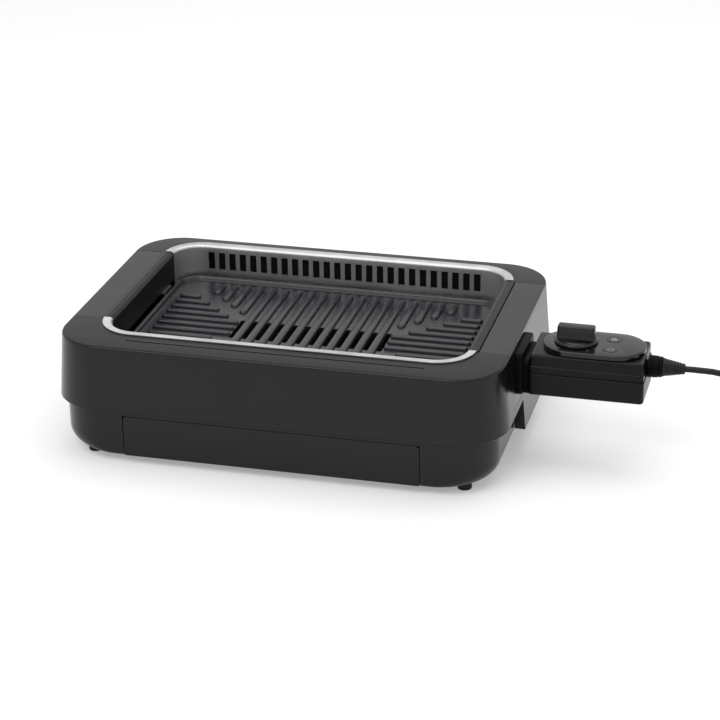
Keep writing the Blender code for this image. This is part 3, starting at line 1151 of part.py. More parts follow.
# Gland, strain relief, cord and plug
gland_start = UNIT_END + CLEARANCE
gland = rod("cord_gland", GLAND_DIAMETER, (gland_start, SOCKET_Y, CORD_HEIGHT),
            (GLAND_END, SOCKET_Y, CORD_HEIGHT), 24, GLAND_DIAMETER - 2 * UNIT_WALL)
gland_neck = rod("neck", GLAND_NECK_DIAMETER, (UNIT_END - 2 * UNIT_WALL, SOCKET_Y, CORD_HEIGHT),
                 (gland_start + UNIT_WALL, SOCKET_Y, CORD_HEIGHT), 24)
finish(combine(gland, [gland_neck], "UNION"), UNIT, BLACK, 0.45)
finish(rod("strain_relief", BOOT_WIDE_DIAMETER, (GLAND_END + CLEARANCE, SOCKET_Y, CORD_HEIGHT),
           (GLAND_END + CLEARANCE + BOOT_LENGTH, SOCKET_Y, CORD_HEIGHT), 20,
           BOOT_NARROW_DIAMETER), UNIT, BLACK, 0.6)

coil_step = CORD_DIAMETER + COIL_SPACING
coil_inner = COIL_DIAMETER / 2 - coil_step * COIL_LOOPS / 4
coil_outer = coil_inner + coil_step * COIL_LOOPS / 2
coil_low = CORD_DIAMETER / 2 + CLEARANCE / 3
coil_front = COIL_Y - coil_outer
LOOP_POINTS = 24


def coil_point(turn):
    """The cord's middle after so many turns: in along the floor, then out on top."""
    reverse = COIL_LOOPS / 2
    radius = coil_inner + coil_step * abs(turn - reverse)
    share = min(max((turn - reverse) * 2 + 1 / 2, 0), 1)
    z = coil_low + coil_step * share * share * (3 - 2 * share)
    angle = 2 * pi * turn - pi / 2
    return Vector((COIL_X + radius * cos(angle), COIL_Y + radius * sin(angle), z))


def least_gap(points, diameter):
    """The smallest gap between parts of the tube that are not next to each other."""
    least = None
    for i, a in enumerate(points):
        for b in points[i + LOOP_POINTS // 2:]:
            gap = (a - b).length - diameter
            least = gap if least is None else min(least, gap)
    return least


coil_points = [coil_point(i / LOOP_POINTS) for i in range(COIL_LOOPS * LOOP_POINTS + 1)]
coil_points.insert(0, coil_points[0] - Vector((CORD_DIAMETER, 0, 0)))
coil_points.append(coil_points[-1] + Vector((COIL_TAIL, 0, 0)))
print("least gap of the coil to itself, metres:",
      round(least_gap(coil_points, CORD_DIAMETER), 5))
finish(tube("cord_coil", coil_points, CORD_DIAMETER, 1), UNIT, BLACK, 0.6)

lead_end = COIL_X - CORD_DIAMETER - CLEARANCE
route = [Vector(place) for place in (
    (CORD_START, SOCKET_Y, CORD_HEIGHT),
    (CORD_START + 2 * CORD_DIAMETER, SOCKET_Y, CORD_HEIGHT),
    *((CORD_START + away, SOCKET_Y + behind, height) for away, behind, height in CORD_ROUTE),
    (lead_end - 2 * CORD_DIAMETER, coil_front, coil_low),
    (lead_end, coil_front, coil_low))]


def smooth(route, steps=2):
    """Points on one smooth curve through the route's own points."""
    points = []
    for i in range(len(route) - 1):
        before = route[max(i - 1, 0)]
        after = route[min(i + 2, len(route) - 1)]
        p, q = route[i], route[i + 1]
        for step in range(steps):
            t = step / steps
            points.append(((2 * p) + (q - before) * t
                           + (2 * before - 5 * p + 4 * q - after) * t ** 2
                           + (3 * p - before - 3 * q + after) * t ** 3) / 2)
    points.append(route[-1])
    return points


finish(tube("cord_lead", smooth(route), CORD_DIAMETER, 2), UNIT, BLACK, 0.6)

plug_start = COIL_X + COIL_TAIL + CLEARANCE
plug_end = plug_start + PLUG_LENGTH
plug_middle = (coil_front, coil_low + coil_step)
half_width, half_height = PLUG_WIDTH / 2, PLUG_THICKNESS / 2
nose = PLUG_NOSE_DIAMETER / 2
plug = along_x("mains_plug", plug_middle, [
    (plug_start, nose, nose, nose),
    (plug_start + PLUG_LENGTH / 4, nose, nose, nose),
    (plug_start + PLUG_LENGTH / 2, half_width, half_height, half_height / 2),
    (plug_end - UNIT_EDGE / 4, half_width, half_height, half_height / 2),
    (plug_end, half_width - UNIT_EDGE / 4, half_height - UNIT_EDGE / 4, half_height / 2)])
finish(plug, UNIT, BLACK, 0.5)
for label, side in (("front", -1), ("rear", 1)):
    y = coil_front + side * PIN_SPACING / 2
    z = plug_middle[1]
    pin = box("plug_pin_" + label, plug_end + CLEARANCE, plug_end + CLEARANCE + PIN_LENGTH,
              y - PIN_THICKNESS / 2, y + PIN_THICKNESS / 2, z - PIN_WIDTH / 2, z + PIN_WIDTH / 2)
    finish(pin, UNIT, BRASS, 0.3, 1.0)
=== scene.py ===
"""Looks of the smokeless grill: fine pieces, materials, light and camera over the fixed frame.

Metres, +Z up. Places are written from the middle of the housing, as the solids are, and
SHIFT takes them to the middle of the grill with its control unit.
"""
from math import atan2, cos, hypot, pi, radians, sin

import bmesh
import bpy
from mathutils import Matrix, Vector


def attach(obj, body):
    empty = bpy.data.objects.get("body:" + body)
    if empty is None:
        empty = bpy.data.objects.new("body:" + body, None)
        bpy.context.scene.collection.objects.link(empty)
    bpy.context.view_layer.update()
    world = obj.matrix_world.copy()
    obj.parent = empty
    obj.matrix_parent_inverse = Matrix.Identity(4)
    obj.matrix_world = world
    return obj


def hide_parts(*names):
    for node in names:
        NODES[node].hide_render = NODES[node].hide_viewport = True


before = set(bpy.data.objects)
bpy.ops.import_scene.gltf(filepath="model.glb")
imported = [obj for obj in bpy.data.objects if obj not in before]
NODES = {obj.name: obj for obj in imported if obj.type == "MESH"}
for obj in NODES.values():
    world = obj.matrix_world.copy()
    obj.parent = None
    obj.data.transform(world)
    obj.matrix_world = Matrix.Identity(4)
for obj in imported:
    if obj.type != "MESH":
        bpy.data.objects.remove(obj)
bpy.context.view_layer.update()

SHIFT = Vector((-0.067, 0, 0))
GAP = 0.0003              # free space between two pieces
FAR = 0.24                # beyond the right wall, for cuts
TOP_Z = 0.122             # the housing's top
EDGE_ROUND = 0.0025       # its upper edge
RIM_Z = 0.056             # lower rim of the upper shell
WALL_HEIGHT = 0.066
WALL_LEAN = 0.005         # how far the walls stand out at the rim
SHELL_WALL = 0.003
TOP_HALF_X = 0.221
TOP_HALF_Y = 0.1515
TOP_RADIUS = 0.048
RECESS_MIDDLE = (0, 0.009)
COVER_FRONT = -0.082      # the side covers' ends
COVER_REAR = 0.102
TAB_FRONT = -0.038        # the tabs' ends
TAB_REAR = 0.058
TAB_BOTTOM = 0.024
SOCKET_Y = -0.036         # middle of the inlet socket, the control unit and the cord
CORD_HEIGHT = 0.1035
KNOB_MIDDLE = (0.276, SOCKET_Y)
BUTTON_X = 0.311


# Camera at the photograph's place

CAMERA_TURN = (14.793, 23.885, -0.740)     # azimuth, elevation and roll in degrees
CAMERA_AIM = Vector((0.05147, 0, 0.06469))
CAMERA_DISTANCE = 2.2572
CAMERA_LENS = 111.97


def place_camera():
    azimuth, elevation, roll = (radians(turn) for turn in CAMERA_TURN)
    back = Vector((sin(azimuth) * cos(elevation), -cos(azimuth) * cos(elevation),
                   sin(elevation)))
    right = (-back).cross(Vector((0, 0, 1))).normalized()
    up = right.cross(-back)
    right, up = (cos(roll) * right + sin(roll) * up, cos(roll) * up - sin(roll) * right)
    data = bpy.data.cameras.new("photo_camera")
    data.sensor_width = 36
    data.lens = CAMERA_LENS
    data.clip_end = 50
    camera = bpy.data.objects.new("photo_camera", data)
    bpy.context.scene.collection.objects.link(camera)
    placed = Matrix((right, up, back)).transposed().to_4x4()
    placed.translation = CAMERA_AIM + SHIFT + back * CAMERA_DISTANCE
    camera.matrix_world = placed
    bpy.context.scene.camera = camera


place_camera()


# Materials

def make_material(name, colour, other, roughness, spread=0.08, metallic=0.0, grain=1400,
                  bump=0.2, depth=0.00012, specular=0.5, stretch=(1, 1, 1), blotch=18,
                  coat=0.0, anisotropic=0.0, detail=3):
    """Two colours mixed by a soft blotch and a fine grain, which also drives the bump."""
    material = bpy.data.materials.new(name)
    material.use_nodes = True
    nodes, links = material.node_tree.nodes, material.node_tree.links
    shader = nodes["Principled BSDF"]
    shader.inputs["Metallic"].default_value = metallic
    shader.inputs["Specular IOR Level"].default_value = specular
    shader.inputs["Coat Weight"].default_value = coat
    shader.inputs["Coat Roughness"].default_value = 0.12
    shader.inputs["Anisotropic"].default_value = anisotropic
    place = nodes.new("ShaderNodeTexCoord")
    mapping = nodes.new("ShaderNodeMapping")
    mapping.inputs["Scale"].default_value = stretch
    links.new(place.outputs["Object"], mapping.inputs["Vector"])
    fine = nodes.new("ShaderNodeTexNoise")
    fine.inputs["Scale"].default_value = grain
    fine.inputs["Detail"].default_value = detail
    links.new(mapping.outputs["Vector"], fine.inputs["Vector"])
    soft = nodes.new("ShaderNodeTexNoise")
    soft.inputs["Scale"].default_value = blotch
    soft.inputs["Detail"].default_value = 4
    links.new(place.outputs["Object"], soft.inputs["Vector"])
    both = nodes.new("ShaderNodeMath")
    both.operation = "MULTIPLY_ADD"
    both.inputs[1].default_value = 0.6
    links.new(fine.outputs["Fac"], both.inputs[0])
    half = nodes.new("ShaderNodeMath")
    half.operation = "MULTIPLY"
    half.inputs[1].default_value = 0.4
    links.new(soft.outputs["Fac"], half.inputs[0])
    links.new(half.outputs[0], both.inputs[2])
    ramp = nodes.new("ShaderNodeValToRGB")
    ramp.color_ramp.elements[0].position = 0.35
    ramp.color_ramp.elements[0].color = (*colour, 1)
    ramp.color_ramp.elements[1].position = 0.68
    ramp.color_ramp.elements[1].color = (*other, 1)
    links.new(both.outputs[0], ramp.inputs["Fac"])
    links.new(ramp.outputs["Color"], shader.inputs["Base Color"])
    rough = nodes.new("ShaderNodeMapRange")
    rough.inputs["From Min"].default_value = 0.3
    rough.inputs["From Max"].default_value = 0.7
    rough.inputs["To Min"].default_value = roughness - spread
    rough.inputs["To Max"].default_value = roughness + spread
    links.new(both.outputs[0], rough.inputs["Value"])
    links.new(rough.outputs["Result"], shader.inputs["Roughness"])
    raised = nodes.new("ShaderNodeBump")
    raised.inputs["Strength"].default_value = bump
    raised.inputs["Distance"].default_value = depth
    links.new(fine.outputs["Fac"], raised.inputs["Height"])
    links.new(raised.outputs["Normal"], shader.inputs["Normal"])
    return material


SATIN = make_material("satin_black", (0.0035, 0.0035, 0.0038), (0.006, 0.006, 0.0063), 0.20,
                      spread=0.04, specular=0.3, grain=1800, bump=0.08)
# Top strips of the housing: the same matte finish as the cover tops, made darker and duller as
# painted shade on these strips; the fine grain and the roughness are real
HOUSING_TOP_PAINTED_SHADE = make_material("housing_top_painted_shade", (0.004, 0.004, 0.004), (0.007, 0.007, 0.007), 0.34,
                            spread=0.05, specular=0.19, grain=1700, bump=0.25)
# Tops of the side covers: the same matte finish as the housing's top strips, made lighter as
# painted light on the side strips; the fine grain is real
COVER_TOP_PAINTED_LIGHT = make_material("cover_top_painted_light", (0.010, 0.0098, 0.009), (0.019, 0.0185, 0.017), 0.42,
                          specular=0.36, grain=1300, bump=0.5, depth=0.0002)
GLOSS = make_material("gloss_black", (0.002, 0.002, 0.002), (0.004, 0.004, 0.004), 0.10,
                      spread=0.04, specular=0.28, grain=700, bump=0.03, coat=0.1)
PANEL = make_material("panel_black", (0.003, 0.003, 0.004), (0.006, 0.006, 0.007), 0.12,
                      spread=0.03, specular=0.42, grain=900, bump=0.04, blotch=60)
PRINT = make_material("pale_print", (0.34, 0.34, 0.35), (0.46, 0.46, 0.47), 0.45, grain=2500)
UNIT_BLACK = make_material("unit_black", (0.0028, 0.0028, 0.0028), (0.005, 0.005, 0.005), 0.30,
                           spread=0.05, specular=0.16, grain=2000, bump=0.2)
# Neck and gland: a darker, duller copy of the unit's black. It is painted shade on the neck, in
# the notch between housing and unit, and on the gland at the unit's far end
NECK_BLACK_PAINTED_SHADE = make_material("neck_black_painted_shade", (0.0015, 0.0015, 0.0015), (0.003, 0.003, 0.003), 0.45,
                           spread=0.05, specular=0.06, grain=2000, bump=0.2)
INNER = make_material("inner_black", (0.006, 0.006, 0.006), (0.012, 0.012, 0.012), 0.6,
                      specular=0.3, grain=900, bump=0.3)
LINER = make_material("brushed_liner", (0.45, 0.45, 0.45), (0.62, 0.62, 0.62), 0.42,
                      metallic=1.0, grain=500, bump=0.12, stretch=(0.1, 0.1, 6),
                      anisotropic=0.3)
COATING = make_material("plate_coating", (0.007, 0.0085, 0.011), (0.016, 0.018, 0.022), 0.27,
                        spread=0.03, grain=1100, bump=0.2, depth=0.0002, blotch=40)
STEEL = make_material("plain_steel", (0.36, 0.36, 0.37), (0.52, 0.52, 0.53), 0.34,
                      metallic=1.0, grain=300, bump=0.2, stretch=(0.2, 2, 2))
BRASS = make_material("contact_brass", (0.50, 0.36, 0.15), (0.64, 0.48, 0.22), 0.3,
                      metallic=1.0, grain=500, bump=0.15)
BOARD = make_material("board_green", (0.012, 0.07, 0.03), (0.02, 0.11, 0.05), 0.4,
                      grain=500, bump=0.3)
RUBBER = make_material("foot_rubber", (0.006, 0.006, 0.006), (0.012, 0.012, 0.012), 0.7,
                       specular=0.3, grain=1200, bump=0.5)
CORD = make_material("cord_rubber", (0.005, 0.005, 0.005), (0.010, 0.010, 0.010), 0.42,
                     specular=0.25, grain=1500, bump=0.3)


def paint(material, *names):
    """Put a material on frame nodes that stay as they are."""
    for name in names:
        mesh = NODES[name].data
        if not mesh.materials:
            mesh.materials.append(material)
        for i in range(len(mesh.materials)):
            mesh.materials[i] = material


paint(INNER, "drip_tray", "fan_case", "smoke_duct", "fan_plenum", "fan_impeller",
      "inlet_socket", "fan_switch", "power_switch")
paint(STEEL, "reflector_pan", "heating_element", "fan_motor", "fan_shaft", "runner_left",
      "runner_right", "element_clamp_front", "element_clamp_rear", "element_clamp_left",
      "bracket_left", "bracket_right", "temperature_probe", "potentiometer", "knob_shaft")
paint(BRASS, "terminal_front", "terminal_rear", "contact_sleeve_front",
      "contact_sleeve_rear", "plug_pin_front", "plug_pin_rear")
paint(BOARD, "circuit_board")


# Cord

CORD_DIAMETER = 0.006
COIL_MIDDLE = (0.500, 0.020)
COIL_LOOPS = 6
COIL_STEP = 0.0066
COIL_INNER = 0.0251
COIL_LOW = 0.0031
COIL_TAIL = 0.038
LOOP_POINTS = 24
COIL_FRONT = COIL_MIDDLE[1] - COIL_INNER - COIL_STEP * COIL_LOOPS / 2


def coil_point(turn):
    """The cord's middle after so many turns: in along the floor, then out on top."""
    radius = COIL_INNER + COIL_STEP * abs(turn - COIL_LOOPS / 2)
    share = min(max((turn - COIL_LOOPS / 2) * 2 + 0.5, 0), 1)
    angle = 2 * pi * turn - pi / 2
    return Vector((COIL_MIDDLE[0] + radius * cos(angle), COIL_MIDDLE[1] + radius * sin(angle),
                   COIL_LOW + COIL_STEP * share * share * (3 - 2 * share)))


def smooth(route, steps):
    """Points on one smooth curve through the route's own points."""
    points = []
    for i in range(len(route) - 1):
        before = route[max(i - 1, 0)]
        after = route[min(i + 2, len(route) - 1)]
        p, q = route[i], route[i + 1]
        for step in range(steps):
            t = step / steps
            points.append(((2 * p) + (q - before) * t
                           + (2 * before - 5 * p + 4 * q - after) * t ** 2
                           + (3 * p - before - 3 * q + after) * t ** 3) / 2)
    points.append(route[-1])
    return points


lead_end = COIL_MIDDLE[0] - CORD_DIAMETER - GAP
lead = smooth([Vector(place) for place in (
    (0.3816, SOCKET_Y, CORD_HEIGHT), (0.3936, SOCKET_Y, CORD_HEIGHT),
    (0.4140, -0.0357, 0.1022), (0.4300, -0.0340, 0.094), (0.4395, -0.0317, 0.078),
    (0.4455, -0.0294, 0.058), (0.4515, -0.0274, 0.036), (0.4605, -0.0258, 0.0165),
    (0.4725, -0.0251, 0.0065),
    (lead_end - 2 * CORD_DIAMETER, COIL_FRONT, COIL_LOW),
    (lead_end, COIL_FRONT, COIL_LOW))], 3)
coil = [coil_point(i / LOOP_POINTS) for i in range(COIL_LOOPS * LOOP_POINTS + 1)]
tail = coil[-1] + Vector((COIL_TAIL, 0, 0))
cord_points = [point + SHIFT for point in lead + coil + [tail]]


def tube(name, points, diameter, resolution):
    """A round tube with filled ends along points in world metres."""
    curve = bpy.data.curves.new(name, "CURVE")
    curve.dimensions = "3D"
    spline = curve.splines.new("POLY")
    spline.points.add(len(points) - 1)
    for point, place in zip(spline.points, points):
        point.co = (*place, 1)
    spline.use_smooth = True
    curve.bevel_depth = diameter / 2
    curve.bevel_resolution = resolution
    curve.use_fill_caps = True
    thing = bpy.data.objects.new(name, curve)
    bpy.context.scene.collection.objects.link(thing)
    return thing


cord = tube("mains_cord", cord_points, CORD_DIAMETER, 4)
cord.data.materials.append(CORD)
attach(cord, "control_unit")
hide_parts("cord_lead", "cord_coil")


# Shapes, in metres from the middle of the housing

def plan(half_x, half_y, radius, z, middle=(0, 0), steps=12):
    """Points of a rounded rectangle at one height, counter-clockwise from above."""
    radius = min(radius, half_x, half_y)
    points = []
    for quarter, (sx, sy) in enumerate(((1, -1), (1, 1), (-1, 1), (-1, -1))):
        for step in range(steps + 1):
            angle = (quarter - 1 + step / steps) * pi / 2
            points.append((middle[0] + sx * (half_x - radius) + radius * cos(angle),
                           middle[1] + sy * (half_y - radius) + radius * sin(angle), z))
    return points


def circle(radius, z, middle=(0, 0), sides=48):
    return [(middle[0] + radius * cos(2 * pi * i / sides),
             middle[1] + radius * sin(2 * pi * i / sides), z) for i in range(sides)]


def solid(name, vertices, faces):
    mesh = bpy.data.meshes.new(name)
    mesh.from_pydata(vertices, [], faces)
    shape = bmesh.new()
    shape.from_mesh(mesh)
    bmesh.ops.recalc_face_normals(shape, faces=shape.faces)
    shape.to_mesh(mesh)
    shape.free()
    thing = bpy.data.objects.new(name, mesh)
    bpy.context.scene.collection.objects.link(thing)
    return thing


def stack(name, rings, closed=False):
    """A solid through rings of points: capped at both ends, or closed on itself."""
    count = len(rings[0])
    vertices = [point for ring in rings for point in ring]
    faces = []
    for level in range(len(rings) if closed else len(rings) - 1):
        low = level * count
        high = (level + 1) % len(rings) * count
        for i in range(count):
            j = (i + 1) % count
            faces.append((low + i, low + j, high + j, high + i))
    if not closed:
        faces.append(tuple(reversed(range(count))))
        faces.append(tuple(range((len(rings) - 1) * count, len(rings) * count)))
    return solid(name, vertices, faces)


def box(x0, x1, y0, y1, z0, z1):
    low = [(x0, y0, z0), (x1, y0, z0), (x1, y1, z0), (x0, y1, z0)]
    return stack("box", [low, [(x, y, z1) for x, y, _ in low]])


def prism(name, outline, start, end):
    """An outline of (x, z) pairs pushed along Y."""
    return stack(name, [[(a, place, b) for a, b in outline] for place in (end, start)])


def rod(name, diameter, start, end, sides=32, end_diameter=None):
    """A round bar between two points, straight or tapered."""
    start, end = Vector(start), Vector(end)
    along = (end - start).normalized()
    side = along.orthogonal().normalized()
    other = along.cross(side)
    return stack(name, [[tuple(place + (side * cos(2 * pi * i / sides)
                                        + other * sin(2 * pi * i / sides)) * width / 2)
                         for i in range(sides)]
                        for place, width in ((start, diameter),
                                             (end, end_diameter or diameter))])


def turned(name, profile, middle, sides=48):
    """A turned piece about a vertical axis: (radius, height) pairs from bottom to top."""
    return stack(name, [circle(radius, z, middle, sides) for radius, z in profile])


def turned_x(name, profile, sides=40):
    """A turned piece about the cord's axis: (x, radius) pairs."""
    return stack(name, [[(x, SOCKET_Y + radius * cos(2 * pi * i / sides),
                          CORD_HEIGHT + radius * sin(2 * pi * i / sides))
                         for i in range(sides)]
                        for x, radius in profile])


def gather(things, name="set"):
    """Several solids as one object."""
    vertices, faces = [], []
    for thing in things:
        base = len(vertices)
        vertices += [tuple(vertex.co) for vertex in thing.data.vertices]
        faces += [tuple(base + i for i in face.vertices) for face in thing.data.polygons]
        bpy.data.objects.remove(thing, do_unlink=True)
    return solid(name, vertices, faces)


def mirrored(name, thing):
    """The left-hand twin of a right-hand piece."""
    return solid(name, [(-v.co.x, v.co.y, v.co.z) for v in thing.data.vertices],
                 [tuple(reversed(face.vertices)) for face in thing.data.polygons])


def both_sides(x0, x1, y0, y1, z0, z1):
    right = box(x0, x1, y0, y1, z0, z1)
    return gather([mirrored("left", right), right])


def combine(thing, others, operation="DIFFERENCE"):
    """Cut the others out of a piece, or join them to it."""
    for other in others:
        cutter = thing.modifiers.new(operation.lower(), "BOOLEAN")
        cutter.operation = operation
        cutter.solver = "EXACT"
        cutter.object = other
        graph = bpy.context.evaluated_depsgraph_get()
        mesh = bpy.data.meshes.new_from_object(thing.evaluated_get(graph))
        thing.modifiers.clear()
        thing.data = mesh
        bpy.data.objects.remove(other, do_unlink=True)
    return thing


def dress(thing, body, nodes, material, bevel=0.0, angle=32, second=None, pick=None):
    """Put a finished piece in place of frame nodes, with its material and its body.

    Faces for which pick(centre, normal) holds take the second material.
    """
    mesh = thing.data
    mesh.materials.clear()
    mesh.materials.append(material)
    if second is not None:
        mesh.materials.append(second)
        for face in mesh.polygons:
            face.material_index = int(pick(face.center, face.normal))
    mesh.transform(Matrix.Translation(SHIFT))
    mesh.shade_smooth()
    mesh.set_sharp_from_angle(angle=radians(angle))
    if bevel:
        edge = thing.modifiers.new("edge", "BEVEL")
        edge.width = bevel
        edge.segments = 2
        edge.limit_method = "ANGLE"
        edge.angle_limit = radians(40)
        edge.harden_normals = True
    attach(thing, body)
    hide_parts(*nodes)
    return thing


def arc(middle_a, middle_b, radius, start, end, steps=6):
    """Points (a, b) on an arc, the angles in quarter turns."""
    return [(middle_a + radius * cos((start + (end - start) * i / steps) * pi / 2),
             middle_b + radius * sin((start + (end - start) * i / steps) * pi / 2))
            for i in range(steps + 1)]


# Housing

POCKET_FRONT = COVER_FRONT - GAP
POCKET_REAR = COVER_REAR + GAP
POCKET_END_X = 0.1825     # inner end of the pockets' end walls
RIM_ROUND = 0.0006
WALL_STEP = 0.0157


def lean_at(z):
    """How far the walls stand out at a height."""
    return (TOP_Z - z) * WALL_LEAN / WALL_HEIGHT


def shell_ring(z, inset=0):
    """The upper shell's plan at a height, on its leaning walls."""
    lean = lean_at(z) - inset
    return plan(TOP_HALF_X + lean, TOP_HALF_Y + lean, TOP_RADIUS + lean, z, steps=20)


def side_face(z):
    """X of the right outer wall at a height."""
    return TOP_HALF_X + lean_at(z)


def top_edge():
    """Pairs of inset and height on the rounded upper edge."""
    return [(EDGE_ROUND * (1 - cos(i / 6 * pi / 2)),
             TOP_Z - EDGE_ROUND + EDGE_ROUND * sin(i / 6 * pi / 2)) for i in range(7)]


def on_top(centre, normal):
    return normal.z > 0.8 and centre.z > 0.12


outer = [shell_ring(RIM_Z, RIM_ROUND), shell_ring(RIM_Z + RIM_ROUND)]
outer += [shell_ring(RIM_Z + RIM_ROUND + i * WALL_STEP) for i in range(1, 4)]
outer += [shell_ring(z, inset) for inset, z in top_edge()]
shell = stack("housing_upper", outer)
cavity = stack("cavity", [shell_ring(RIM_Z + SHELL_WALL, SHELL_WALL),
                          shell_ring(TOP_Z - SHELL_WALL, SHELL_WALL)])
combine(cavity, [
    both_sides(0.206, FAR, POCKET_FRONT - SHELL_WALL, POCKET_REAR + SHELL_WALL, RIM_Z, TOP_Z),
    both_sides(POCKET_END_X, FAR, POCKET_FRONT - SHELL_WALL, POCKET_FRONT, RIM_Z, TOP_Z),
    both_sides(POCKET_END_X, FAR, POCKET_REAR, POCKET_REAR + SHELL_WALL, RIM_Z, TOP_Z)])
combine(shell, [
    cavity,
    stack("open", [plan(0.214, 0.1445, 0.045, z) for z in (0.046, 0.0605)]),
    stack("open", [plan(0.1825, 0.1225, 0.033, z, RECESS_MIDDLE) for z in (0.1175, 0.132)]),
    both_sides(0.209, FAR, POCKET_FRONT, POCKET_REAR, 0.0637, 0.132),
    both_sides(0.2173, FAR, TAB_FRONT - GAP, TAB_REAR + GAP, 0.046, 0.064),
    both_sides(0.1683, FAR, POCKET_FRONT, POCKET_REAR, 0.074, 0.132),
    box(0.196, FAR, -0.065, -0.007, 0.0665, 0.132),
    stack("groove", [plan(0.148 + lean, 0.0011 + lean, 0.0011 + lean, z, (0, -0.1304), 6)
                     for z, lean in ((0.121, 0), (0.1217, 0), (0.1221, 0.0004), (0.13, 0.0004))])])
# Top faces of the housing take its top finish, darker as painted shade
dress(shell, "housing", ["upper_shell"], SATIN, 0.0006,
      second=HOUSING_TOP_PAINTED_SHADE, pick=on_top)


BASE_RADIUS = 0.0435
BASE_ROUND = 0.018        # the bottom edge's round at the sides
BASE_BOTTOM = 0.008


def base_ring(side, front, radius, z):
    return plan(0.217 - side, 0.152 - front, radius, z, steps=18)


def base_rings(wall):
    """Rings up the base's outer face, or its inner one at the wall's thickness."""
    rings = []
    for step in range(9):
        angle = step / 8 * pi / 2
        rings.append(base_ring(wall + (BASE_ROUND - wall) * (1 - sin(angle)),
                               wall + 0.003 * (1 - sin(angle)), BASE_RADIUS - wall,
                               BASE_BOTTOM + wall + (BASE_ROUND - wall) * (1 - cos(angle))))
    rings.append(base_ring(wall, wall, BASE_RADIUS - wall, RIM_Z - GAP))
    return rings


base = stack("housing_base", base_rings(0) + base_rings(SHELL_WALL)[::-1])
outlets = []
for i in range(7):
    x = (i - 3) * 0.010
    outlets.append(prism("slot", arc(x, 0.0395, 0.0025, 0, 2) + arc(x, 0.0225, 0.0025, 2, 4),
                         0.142, 0.162))
combine(base, [box(-0.1485, 0.1485, -0.162, -0.1415, -0.002, 0.051), gather(outlets)])
dress(base, "housing", ["base_shell"], SATIN, 0.0004)

for sx, x in (("left", -0.187), ("right", 0.187)):
    for sy, y in (("front", -0.128), ("rear", 0.128)):
        foot = turned("foot_" + sx + "_" + sy, [
            (0.0058, 0), (0.0067, 0.0004), (0.007, 0.0013), (0.007, 0.0066), (0.0068, 0.0077),
            (0.003, 0.0077), (0.003, 0.0135)], (x, y), 36)
        dress(foot, "housing", ["rubber_foot_" + sx + "_" + sy], RUBBER)


def recess_ring(outward, z):
    return plan(0.179 + outward, 0.119 + outward, 0.030 + outward, z, RECESS_MIDDLE, 16)


BEND = 0.003              # the liner's bend, on its upper side
BEND_UNDER = 0.0018
BEND_Z = 0.1205
FOOT_BEND = 0.0014
FOOT_BEND_Z = 0.0826
VENT_PITCH = 0.0116
VENT_COUNT = 26
VENT_HALF = 0.0029        # from a vent's middle to its corners' centres
VENT_TOP = 0.1154
VENT_BOTTOM = 0.0976
VENT_CORNER = 0.0006
profile = [(0.009, 0.1223), (0.0091, 0.1229), (0.009, 0.1235)]
profile += [(BEND - BEND * sin(i / 6 * pi / 2), BEND_Z + BEND * cos(i / 6 * pi / 2))
            for i in range(7)]
profile += [(0, 0.1), (0, FOOT_BEND_Z)]
profile += [(-FOOT_BEND * sin(i / 3 * pi / 2), FOOT_BEND_Z - FOOT_BEND * (1 - cos(i / 3 * pi / 2)))
            for i in range(1, 4)]
profile += [(-0.007, 0.0812), (-0.007, 0.080), (0.0012, 0.080)]
profile += [(BEND - BEND_UNDER * cos(i / 4 * pi / 2), BEND_Z + BEND_UNDER * sin(i / 4 * pi / 2))
            for i in range(5)]
liner = stack("recess_liner", [recess_ring(*place) for place in profile], closed=True)
vents = []
for i in range(VENT_COUNT):
    x = (i - (VENT_COUNT - 1) / 2) * VENT_PITCH
    vents.append(prism("vent", arc(x + VENT_HALF, VENT_TOP, VENT_CORNER, 0, 1, 3)
                       + arc(x - VENT_HALF, VENT_TOP, VENT_CORNER, 1, 2, 3)
                       + arc(x - VENT_HALF, VENT_BOTTOM, VENT_CORNER, 2, 3, 3)
                       + arc(x + VENT_HALF, VENT_BOTTOM, VENT_CORNER, 3, 4, 3), 0.118, 0.140))
combine(liner, [gather(vents),
                both_sides(0.165, FAR, POCKET_FRONT, POCKET_REAR, 0.0824, 0.134),
                box(0.165, FAR, -0.061, -0.011, 0.070, 0.0912)])
dress(liner, "housing", ["metal_liner"], LINER, 0.0002)

# Drawer front, with two rounded upper corners
DRAWER_HALF = 0.148
DRAWER_TOP = 0.0505
DRAWER_BOTTOM = 0.0085
DRAWER_CORNER = 0.004
corner_x, corner_z = DRAWER_HALF - DRAWER_CORNER, DRAWER_TOP - DRAWER_CORNER
outline = ([(DRAWER_HALF, DRAWER_BOTTOM)] + arc(corner_x, corner_z, DRAWER_CORNER, 0, 1)
           + arc(-corner_x, corner_z, DRAWER_CORNER, 1, 2) + [(-DRAWER_HALF, DRAWER_BOTTOM)])
front = prism("drawer_panel", outline, -0.152, -0.142)
combine(front, [box(-0.035, 0.035, -0.1485, -0.132, -0.002, 0.0155)])
dress(front, "drawer", ["drawer_front"], SATIN, 0.0007)


# Grill plate

FLOOR_Z = 0.0867
PATTERN_Y = -0.001        # middle of the pattern of ribs and slots
RIB_PITCH = 0.014
RIB_WIDTH = 0.009
RIB_FRONT = -0.098
RIB_REAR = 0.104
CROSS_PITCH = 0.0145
CROSS_WIDTH = 0.0062
CROSS_END = 0.160
WEDGE_STEP = 0.0148       # how the pattern's wedge grows from one rib to the next
SLOT_COUNT = 12


def plate_ring(inset, z):
    return plan(0.176 - inset, 0.115 - inset, 0.026 - inset, z, (0, 0.008), 14)


